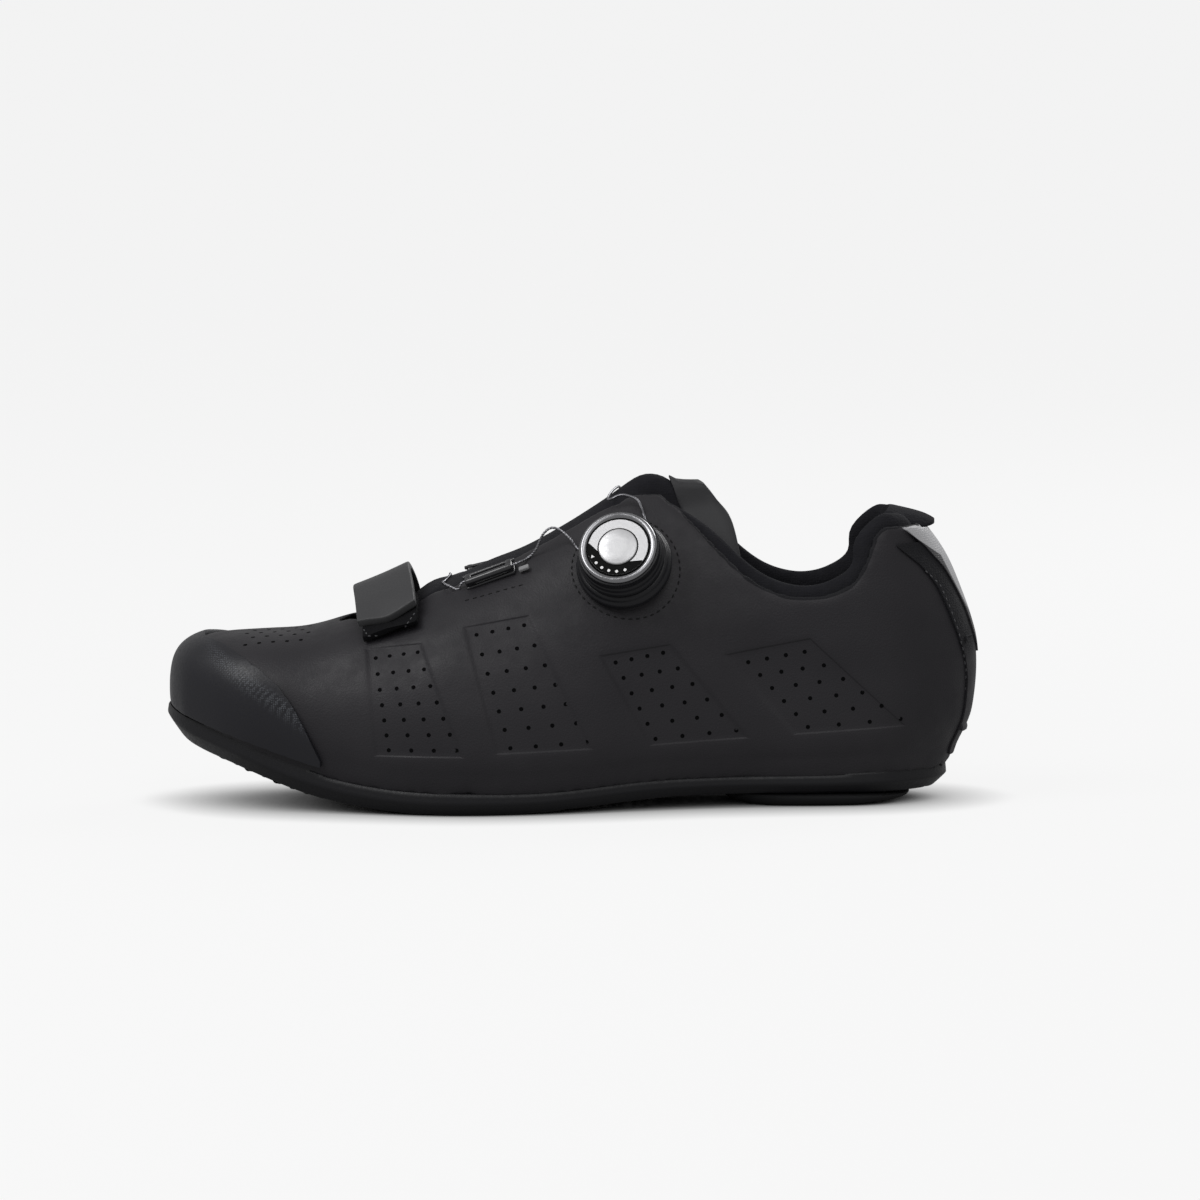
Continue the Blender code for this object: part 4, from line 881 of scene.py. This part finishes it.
# Lace guides
# Moulded black plastic guides at the throat's edges, each a foot plate with two posts, a round bar that
# holds the wire in and a thin ridge behind it, sewn down along the foot.
GUIDE_HEIGHT = 0.0042
GUIDE_LENGTH = 0.018
REAR_GUIDE_SHIFT = Vector((-0.004, 0.0035, -0.0035))
BAR_RADIUS = 0.00125
RIDGE_RADIUS = 0.00065
# Width and thickness of the foot plate, and the sizes of a post and of the pale tab beside the outer guide
FOOT_PLATE = (0.0058, 0.0016)
POST = (0.0024, 0.0048, 0.0030)
POST_INSET = 0.0014
END_TAB = (0.0036, 0.0020, 0.0012)
GUIDE_BLACK = (0.012, 0.012, 0.014)
guide_finish = Finish("satin black guide", GUIDE_BLACK, 0.26, coat=0.3, coat_roughness=0.15)
guide_grain = guide_finish.noise(1400.0, 2.0)
guide_finish.bump(guide_grain, 0.00003)


def frame_of(node, outward):
    """A solid's own frame: X along its longest side, Z along its thinnest, turned to this direction."""
    corners = np.array([corner.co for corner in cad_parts[node].data.vertices])
    centre = (corners.max(axis=0) + corners.min(axis=0)) / 2
    _, axes = np.linalg.eigh(np.cov((corners - corners.mean(axis=0)).T))
    up = Vector(axes[:, 0])
    ahead = Vector(axes[:, 2])
    up = up if up.dot(outward) > 0 else -up
    ahead = ahead if ahead.x > 0 else -ahead
    levels = (corners - corners.mean(axis=0)) @ np.array(up)
    top = Vector(centre) + up * (levels.max() - (centre - corners.mean(axis=0)) @ np.array(up))
    return Matrix.Translation(top) @ Matrix((ahead, up.cross(ahead), up)).transposed().to_4x4()


def box(size, place_at, edge):
    """A block with rounded edges."""
    bpy.ops.object.select_all(action="DESELECT")
    bpy.ops.mesh.primitive_cube_add(size=1.0, location=place_at, scale=size)
    block = bpy.context.object
    bpy.ops.object.transform_apply(location=True, rotation=True, scale=True)
    apply_modifier(block, "BEVEL", width=edge, segments=3, limit_method="NONE")
    return block


def rod(radius, length, place_at, edge):
    """A round bar along X with rounded ends."""
    bpy.ops.object.select_all(action="DESELECT")
    bpy.ops.mesh.primitive_cylinder_add(
        vertices=24, radius=radius, depth=length, location=place_at, rotation=(0.0, math.pi / 2, 0.0)
    )
    bar = bpy.context.object
    bpy.ops.object.transform_apply(location=True, rotation=True, scale=True)
    apply_modifier(bar, "BEVEL", width=edge, segments=3, limit_method="ANGLE", angle_limit=math.radians(60))
    return bar


def together(name, pieces, spot):
    """Joins small pieces into one and sets it down at a frame on the shoe."""
    only(pieces[0])
    for piece in pieces:
        piece.select_set(True)
    bpy.ops.object.join()
    made = bpy.context.object
    made.name = name
    made.data.transform(spot)
    return made


tab_finish = Finish("pale woven tab", (0.22, 0.22, 0.225), 0.6, specular=0.3)
tab_weave = tab_finish.cells(2200.0, randomness=0.2)
tab_finish.bump(tab_weave, 0.00006)
guide_frames = {}
for guide, name, side in (
    ("guide_outer", "outer_lace_guide", -1),
    ("guide_inner_front", "inner_front_lace_guide", 1),
    ("guide_inner_rear", "inner_rear_lace_guide", 1),
):
    spot = frame_of(guide, Vector((0.0, side * 0.6, 0.8))) @ Matrix.Translation((0.0, 0.0, -GUIDE_HEIGHT))
    if guide == "guide_inner_rear":
        lower = skin.find_nearest(spot.translation + REAR_GUIDE_SHIFT)
        spot = standing_on(lower[0], lower[1])
    if side > 0:
        spot = spot @ Matrix.Rotation(math.pi, 4, "Z")
    guide_frames[guide] = spot
    half = GUIDE_LENGTH / 2
    pieces = [
        box((GUIDE_LENGTH, *FOOT_PLATE), (0.0, 0.0, 0.0001), 0.0005),
        box(POST, (half - POST_INSET, -0.0002, 0.0019), 0.0007),
        box(POST, (-half + POST_INSET, -0.0002, 0.0019), 0.0007),
        rod(BAR_RADIUS, GUIDE_LENGTH - 0.0008, (0.0, -0.0019, 0.0026), 0.0005),
        rod(RIDGE_RADIUS, GUIDE_LENGTH + 0.0012, (0.0, 0.0018, 0.0024), 0.0003),
    ]
    dress(together(name, pieces, spot), guide_finish, "plastic", guide)
    if side < 0:
        tab = together("guide_end_tab", [box(END_TAB, (half + 0.0034, -0.0030, 0.0008), 0.0003)], spot)
        dress(tab, tab_finish, "plastic")

# Lace dial
# A black base sewn into the quarter, a ribbed black knob that winds the wire, and a silver face with a
# raised middle disc and a plain scale of white dots on a black band. Thin black rings lie in the face's
# two grooves as painted shade.
DIAL_HEIGHT = 0.0145
DIAL_SUNK = 0.0005
DIAL_FOOT_SHIFT = Vector((0.0034, 0.0, -0.0004))
DIAL_TOP_SHIFT = Vector((0.0006, 0.0, 0.0010))
DIAL_RIBS = 90
RIB_DEPTH = 0.00030
# Radius and height at each turn of a profile
BASE_PROFILE = (
    (0.0162, -0.0015), (0.0166, 0.0006), (0.0165, 0.0016), (0.0160, 0.0022), (0.0157, 0.0024),
    (0.0156, 0.0030), (0.0155, 0.0037), (0.0151, 0.0042), (0.0146, 0.0044), (0.0130, 0.0044),
)
KNOB_PROFILE = (
    (0.0130, 0.0046), (0.0143, 0.0047), (0.0147, 0.0052), (0.0148, 0.0060), (0.0146, 0.0067),
    (0.0142, 0.0070), (0.0141, 0.0073), (0.0143, 0.0076), (0.0144, 0.0083), (0.0142, 0.0090),
    (0.0139, 0.0093), (0.0138, 0.0096), (0.0140, 0.0098), (0.0141, 0.0122), (0.0139, 0.0126),
    (0.0134, 0.0128), (0.0120, 0.0128),
)
RIB_LOW = 0.0097
RIB_HIGH = 0.0123
RIM_PROFILE = (
    (0.0126, 0.0126), (0.0132, 0.0127), (0.0134, 0.0131), (0.0133, 0.0137), (0.0129, 0.0143),
    (0.0123, 0.0145), (0.0116, 0.0143), (0.0109, 0.0139), (0.0107, 0.0134),
)
FACE_PROFILE = (
    (0.0106, 0.0134), (0.0105, 0.0139), (0.0103, 0.0141), (0.0071, 0.0141), (0.0070, 0.0138),
    (0.0068, 0.0138), (0.0067, 0.0142), (0.0065, 0.0145), (0.0060, 0.0147), (0.0030, 0.0148),
    (0.0001, 0.0148),
)
# Painted shade in the face's two grooves: thin black rings, each at a radius and height, all of one thickness
GROOVE_SHADE_RINGS = ((0.01065, 0.01395), (0.00690, 0.01400))
GROOVE_SHADE_RADIUS = 0.00022
# The black band and the dots on it, with a small arrow: angles counted from the toe's side
BAND_ENDS = (math.radians(168.0), math.radians(325.0))
BAND_RADII = (0.0071, 0.0104)
DOT_ANGLES = (216.0, 233.0, 250.0, 267.0, 285.0)
DOT_RING = 0.0093
DOT_RADIUS = 0.00052
ARROW_ANGLE = 199.0
ARROW_RADIUS = 0.00075
BAND_HEIGHT = 0.01414
DOT_HEIGHT = 0.01422
PRINT_DEPTH = 0.00008


def turned(name, profile, segments=96):
    """A round piece about Z: one ring of corners, drawn out to each radius and height in turn."""
    bpy.ops.object.select_all(action="DESELECT")
    bpy.ops.mesh.primitive_circle_add(vertices=segments, radius=profile[0][0], location=(0, 0, profile[0][1]))
    piece = bpy.context.object
    piece.name = name
    bpy.ops.object.transform_apply(location=True, rotation=True, scale=True)
    bpy.ops.object.mode_set(mode="EDIT")
    bpy.ops.mesh.select_all(action="SELECT")
    for (radius, height), (next_radius, next_height) in zip(profile, profile[1:]):
        bpy.ops.mesh.extrude_region_move(TRANSFORM_OT_translate={"value": (0.0, 0.0, next_height - height)})
        wider = next_radius / radius
        bpy.ops.transform.resize(value=(wider, wider, 1.0), center_override=(0.0, 0.0, 0.0))
    bpy.ops.mesh.select_all(action="SELECT")
    bpy.ops.mesh.fill_holes(sides=0)
    bpy.ops.mesh.normals_make_consistent(inside=False)
    bpy.ops.object.mode_set(mode="OBJECT")
    return piece


dial_corners = corners_of(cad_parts["dial_face"])[0]
dial_centre = Vector(dial_corners.mean(axis=0))
_, dial_axes = np.linalg.eigh(np.cov((dial_corners - dial_corners.mean(axis=0)).T))
dial_up = Vector(dial_axes[:, 0])
dial_up = dial_up if dial_up.y < 0 else -dial_up
dial_foot = dial_centre - dial_up * (DIAL_HEIGHT - DIAL_SUNK) + DIAL_FOOT_SHIFT
dial_top = dial_centre + DIAL_TOP_SHIFT
dial_up = (dial_top - dial_foot).normalized()
dial_frame = standing_on(dial_top - dial_up * (DIAL_HEIGHT - DIAL_SUNK), dial_up)
dial_black = Finish("satin black dial", (0.0085, 0.0085, 0.0105), 0.44, specular=0.30)
dial_grain = dial_black.noise(1500.0, 2.0)
dial_black.bump(dial_grain, 0.00003)
dial_base = turned("dial_base_ring", BASE_PROFILE)
dial_base.data.transform(dial_frame)
dress(dial_base, dial_black, "plastic", "dial_base", smooth=50)
knob = turned("ribbed_dial_knob", KNOB_PROFILE, segments=DIAL_RIBS * 2)
for corner in knob.data.vertices:
    turn = round(math.atan2(corner.co.y, corner.co.x) / math.tau * DIAL_RIBS * 2)
    if RIB_LOW < corner.co.z < RIB_HIGH and turn % 2:
        corner.co.xy *= 1 - RIB_DEPTH / corner.co.xy.length
knob.data.transform(dial_frame)
dress(knob, dial_black, "plastic", "dial_knob", smooth=25)
rim_metal = Finish("polished silver rim", (0.27, 0.27, 0.28), 0.26, metallic=1.0)
rim_brush = rim_metal.noise(900.0, 2.0)
rim_metal.feed("Roughness", rim_brush.ramp(0.3, 0.7, 0.18, 0.28))
rim = turned("silver_dial_rim", RIM_PROFILE, segments=128)
rim.data.transform(dial_frame)
dress(rim, rim_metal, "dial_face", smooth=50)
dial_silver = Finish("satin silver face", (0.56, 0.56, 0.57), 0.42, metallic=0.40)
dial_brush = dial_silver.noise(900.0, 2.0)
dial_silver.feed("Roughness", dial_brush.ramp(0.3, 0.7, 0.30, 0.42))
face = turned("silver_dial_face", FACE_PROFILE, segments=128)
face.data.transform(dial_frame)
dress(face, dial_silver, "dial_face", "dial_face", smooth=30)
print_and_groove_shade_finish = Finish("black print and painted groove shade", (0.003, 0.003, 0.003), 0.7, specular=0.10)
band_grain = print_and_groove_shade_finish.noise(1800.0)
print_and_groove_shade_finish.feed("Roughness", band_grain.ramp(0.3, 0.7, 0.65, 0.78))
# Painted shade: a thin black ring laid in each groove of the face
for radius, height in GROOVE_SHADE_RINGS:
    bpy.ops.object.select_all(action="DESELECT")
    bpy.ops.mesh.primitive_torus_add(
        major_radius=radius, minor_radius=GROOVE_SHADE_RADIUS, major_segments=96, minor_segments=8,
        location=(0.0, 0.0, height),
    )
    bpy.ops.object.transform_apply(location=True, rotation=True, scale=True)
    line = bpy.context.object
    line.name = "dial_groove_painted_shade"
    line.data.transform(dial_frame)
    dress(line, print_and_groove_shade_finish, "plastic")
bpy.ops.object.select_all(action="DESELECT")
bpy.ops.mesh.primitive_grid_add(x_subdivisions=80, y_subdivisions=4, size=1.0)
band = bpy.context.object
band.name = "black_dial_band"
for corner in band.data.vertices:
    along = corner.co.x + 0.5
    across = corner.co.y + 0.5
    angle = BAND_ENDS[0] + (BAND_ENDS[1] - BAND_ENDS[0]) * along
    taper = min(1.0, 8.0 * min(along, 1 - along)) ** 0.6
    inner = BAND_RADII[1] - (BAND_RADII[1] - BAND_RADII[0]) * max(0.08, taper)
    reach = inner + (BAND_RADII[1] - inner) * across
    corner.co = (reach * math.cos(angle), reach * math.sin(angle), BAND_HEIGHT)
apply_modifier(band, "SOLIDIFY", thickness=0.00006, offset=1.0)
band.data.transform(dial_frame)
dress(band, print_and_groove_shade_finish, "plastic")
white_finish = Finish("white print", (0.80, 0.80, 0.80), 0.5, specular=0.3)
white_grain = white_finish.noise(1800.0)
white_finish.feed("Roughness", white_grain.ramp(0.3, 0.7, 0.45, 0.55))
dots = []
for angle in DOT_ANGLES:
    bpy.ops.object.select_all(action="DESELECT")
    turn = math.radians(angle)
    bpy.ops.mesh.primitive_cylinder_add(
        vertices=20, radius=DOT_RADIUS, depth=PRINT_DEPTH,
        location=(DOT_RING * math.cos(turn), DOT_RING * math.sin(turn), DOT_HEIGHT),
    )
    bpy.ops.object.transform_apply(location=True, rotation=True, scale=True)
    dots.append(bpy.context.object)
bpy.ops.object.select_all(action="DESELECT")
arrow_turn = math.radians(ARROW_ANGLE)
bpy.ops.mesh.primitive_cylinder_add(
    vertices=3, radius=ARROW_RADIUS, depth=PRINT_DEPTH, rotation=(0.0, 0.0, arrow_turn + math.pi),
    location=(DOT_RING * math.cos(arrow_turn), DOT_RING * math.sin(arrow_turn), DOT_HEIGHT),
)
bpy.ops.object.transform_apply(location=True, rotation=True, scale=True)
dots.append(bpy.context.object)
dress(together("white_dial_dots", dots, dial_frame), white_finish, "plastic", smooth=20)

# Lace
# A thin cord of twisted steel wire, wound by the dial, in one run through all the guides. Both ends go
# under the dial.
LACE_RADIUS = 0.00046
LACE_LOBE = 0.00012
LACE_PITCH = 0.0032
LOBE_CORNERS = 18
# The visible runs, as places in the photograph in its pixels: from the dial to the outer guide, from there
# to the throat's edge, and from the dial's top to the throat
RUN_TO_GUIDE = (
    (577, 548), (571, 540), (565, 534), (558, 529), (551, 528), (545, 532), (540, 540), (536, 549),
    (529, 557),
)
RUN_TO_THROAT = ((458, 589), (451, 587), (445, 584))
RUN_FROM_DIAL = ((644, 516), (641, 507), (637, 500), (629, 496), (620, 495), (611, 499))
# The hidden runs: along the shoe and aside, in metres. At its ends the wire stops inside the dial's foot.
RUN_OVER_FRONT = ((-0.0080, -0.0087), (-0.0064, 0.0000), (-0.0064, 0.0087), (-0.0058, 0.0154))
RUN_OVER_REAR = ((0.0500, 0.0160), (0.0520, 0.0110), (0.0530, 0.0040))
DIAL_END_LOW = Vector((-0.0100, 0.0010, 0.0050))
DIAL_END_HIGH = Vector((0.0090, 0.0100, 0.0050))
ASIDE_STEP = 0.0008
upper_and_tongue = []
for piece in (upper, tongue, flap):
    upper_and_tongue.append(BVHTree.FromObject(piece, bpy.context.evaluated_depsgraph_get()))


def first_met(start, aim):
    """The nearest of the upper's and the tongue's surfaces along a line, lifted by the wire's radius."""
    met = [tree.ray_cast(start, aim) for tree in upper_and_tongue]
    met = sorted((hit for hit in met if hit[0] is not None), key=lambda hit: hit[3])
    return met[0][0] + met[0][1] * LACE_RADIUS * 1.3 if met else None


def in_picture(run, aside=None):
    """The wire's places on these lines of sight: on what it lies on, but never far aside from the last."""
    if aside is None:
        aside = first_met(camera.location, sight_line(*run[0])).y
    for place_now in run:
        aim = sight_line(*place_now)
        met = first_met(camera.location, aim)
        wanted = aside if met is None else met.y
        aside = min(max(wanted, aside - ASIDE_STEP), aside + ASIDE_STEP)
        yield camera.location + aim * ((aside - camera.location.y) / aim.y)


def through(guide, steps=(-0.0105, -0.0060, 0.0, 0.0060, 0.0105)):
    """The wire's places in a guide's slot, from one end to the other."""
    return [guide_frames[guide] @ Vector((along, 0.0001, 0.0017)) for along in steps]


def from_above(run):
    """The wire's places below these, given along the shoe and aside."""
    return [first_met(Vector((x, y, SKY)), Vector((0.0, 0.0, -1.0))) for x, y in run]


lace_points = [dial_frame @ DIAL_END_LOW]
lace_points += in_picture(RUN_TO_GUIDE)
lace_points += reversed(through("guide_outer"))
lace_points += in_picture(RUN_TO_THROAT, lace_points[-1].y)
lace_points += from_above(RUN_OVER_FRONT)
lace_points += reversed(through("guide_inner_front"))
lace_points += reversed(through("guide_inner_rear"))
lace_points += from_above(RUN_OVER_REAR)
lace_points += reversed(list(in_picture(RUN_FROM_DIAL)))
lace_points += [dial_frame @ DIAL_END_HIGH]
lobes = bpy.data.curves.new("wire section", "CURVE")
lobe_line = lobes.splines.new("POLY")
lobe_line.points.add(LOBE_CORNERS - 1)
for number, knot in enumerate(lobe_line.points):
    angle = math.tau * number / LOBE_CORNERS
    reach = LACE_RADIUS - LACE_LOBE * (0.5 + 0.5 * math.cos(3 * angle))
    knot.co = (reach * math.cos(angle), reach * math.sin(angle), 0.0, 1.0)
lobe_line.use_cyclic_u = True
lobe_shape = bpy.data.objects.new("wire section", lobes)
bpy.context.scene.collection.objects.link(lobe_shape)
lace_curve = bpy.data.curves.new("steel_lace", "CURVE")
lace_curve.dimensions = "3D"
lace_curve.resolution_u = 22
lace_curve.bevel_mode = "OBJECT"
lace_curve.bevel_object = lobe_shape
lace_curve.use_fill_caps = True
lace_curve.twist_mode = "MINIMUM"
lace_line = lace_curve.splines.new("BEZIER")
lace_line.bezier_points.add(len(lace_points) - 1)
run_length = 0.0
for number, (knot, point) in enumerate(zip(lace_line.bezier_points, lace_points)):
    if number:
        run_length += (Vector(point) - Vector(lace_points[number - 1])).length
    knot.co = point
    knot.handle_left_type = "AUTO"
    knot.handle_right_type = "AUTO"
    knot.tilt = math.tau * run_length / LACE_PITCH
lace = bpy.data.objects.new("steel_lace", lace_curve)
bpy.context.scene.collection.objects.link(lace)
only(lace)
bpy.ops.object.convert(target="MESH")
bpy.data.objects.remove(lobe_shape)
lace = bpy.context.object
steel_finish = Finish("twisted steel wire", (0.24, 0.24, 0.255), 0.34, metallic=1.0)
steel_grain = steel_finish.noise(2600.0, 1.0)
steel_finish.feed("Roughness", steel_grain.ramp(0.3, 0.7, 0.28, 0.42))
dress(lace, steel_finish, "lace", "lace_front", "lace_side", "lace_inner", "lace_rear", smooth=60)

# Stitches
# Short stitches of dark bonded thread: round the dial's base, below each lace guide and round the loop
# patch, and a paler row down the front edge of the heel panel.
DIAL_STITCHES = 46
DIAL_STITCH_RING = 0.0183
# The row below a guide: how far aside of it and how far it runs to each side, in this many steps
GUIDE_STITCH_ASIDE = -0.0088
GUIDE_STITCH_HALF = 0.0118
ROW_STEPS = 120
# The distance from one stitch to the next
GUIDE_PITCH = 0.0027
COUNTER_PITCH = 0.0024
LOOP_PITCH = 0.0020
STITCH_HEIGHT = (0.00028, 0.00022)
# Places in the photograph, in its pixels
COUNTER_SEAM = (
    (874, 549), (896, 557), (924, 569), (940, 585), (949, 605), (958, 630), (963, 649), (966, 670),
    (965, 695), (960, 719), (952, 737),
)
PATCH_SEAM = ((362, 627), (368, 636), (400, 635), (405, 627), (417, 610))
counter_skin = BVHTree.FromObject(counter, bpy.context.evaluated_depsgraph_get())
loop_skin = BVHTree.FromObject(loop_patch, bpy.context.evaluated_depsgraph_get())


def seen_at(tree, across, down):
    """Where the camera's line through this place in the photograph meets a piece."""
    hit = tree.ray_cast(camera.location, sight_line(across, down))
    return hit[0], hit[1]


def stitch_frames(spots, pitch, lift=0.00005):
    """Frames along a line of surface places, one every pitch, each turned along the line."""
    frames = []
    spots = [spot for spot in spots if spot[0] is not None]
    gone = 0.0
    for (here, normal), (after, _) in zip(spots, spots[1:]):
        gone += (after - here).length
        if gone >= pitch and (after - here).length < pitch:
            gone = 0.0
            frames.append(standing_on(here + normal * lift, normal, (after - here).normalized()))
    return frames


def between(points, steps=24):
    """Places on straight lines between these, closely spaced."""
    for here, after in zip(points, points[1:]):
        for number in range(steps):
            share = number / steps
            yield tuple(a + (b - a) * share for a, b in zip(here, after))


def thread(name, frames, finish, length=0.00080):
    """A row of stitches, each a rounded bead half as long as this to either side."""
    bpy.ops.object.select_all(action="DESELECT")
    bpy.ops.mesh.primitive_uv_sphere_add(segments=8, ring_count=6, radius=1.0, scale=(length, *STITCH_HEIGHT))
    model = bpy.context.object
    bpy.ops.object.transform_apply(location=True, rotation=True, scale=True)
    dress(joined(name, model, frames), finish, "upper_shell", smooth=60)


def over(frame_here, x, y):
    """The skin below a place given in a frame's own X and Y."""
    start = frame_here @ Vector((x, y, 0.012))
    down = -(frame_here.to_3x3() @ Vector((0.0, 0.0, 1.0)))
    hit = skin.ray_cast(start, down, 0.03)
    return hit[0], hit[1]


dark_thread = Finish("dark bonded thread", (0.0045, 0.0045, 0.005), 0.7, specular=0.25)
dark_fibre = dark_thread.noise(3000.0)
dark_thread.feed("Roughness", dark_fibre.ramp(0.3, 0.7, 0.6, 0.8))
pale_thread = Finish("grey bonded thread", (0.060, 0.060, 0.064), 0.6, specular=0.3)
pale_fibre = pale_thread.noise(3000.0)
pale_thread.feed("Roughness", pale_fibre.ramp(0.3, 0.7, 0.5, 0.7))
rows = []
ring_steps = DIAL_STITCHES * 12
turns = [math.tau * number / ring_steps for number in range(ring_steps + 1)]
ring = [
    over(dial_frame, DIAL_STITCH_RING * math.cos(turn), DIAL_STITCH_RING * math.sin(turn))
    for turn in turns
]
rows += stitch_frames(ring, math.tau * DIAL_STITCH_RING / DIAL_STITCHES)
for spot in guide_frames.values():
    places_along = [GUIDE_STITCH_HALF * (2 * number / ROW_STEPS - 1) for number in range(ROW_STEPS + 1)]
    line = [over(spot, along, GUIDE_STITCH_ASIDE) for along in places_along]
    rows += stitch_frames(line, GUIDE_PITCH)
thread("dark_stitches", rows, dark_thread)
seam = [seen_at(counter_skin, *place_now) for place_now in between(COUNTER_SEAM)]
thread("counter_stitches", stitch_frames(seam, COUNTER_PITCH), pale_thread, length=0.00070)
border = [seen_at(loop_skin, *place_now) for place_now in between(PATCH_SEAM)]
thread("loop_patch_stitches", stitch_frames(border, LOOP_PITCH), pale_thread, length=0.00060)
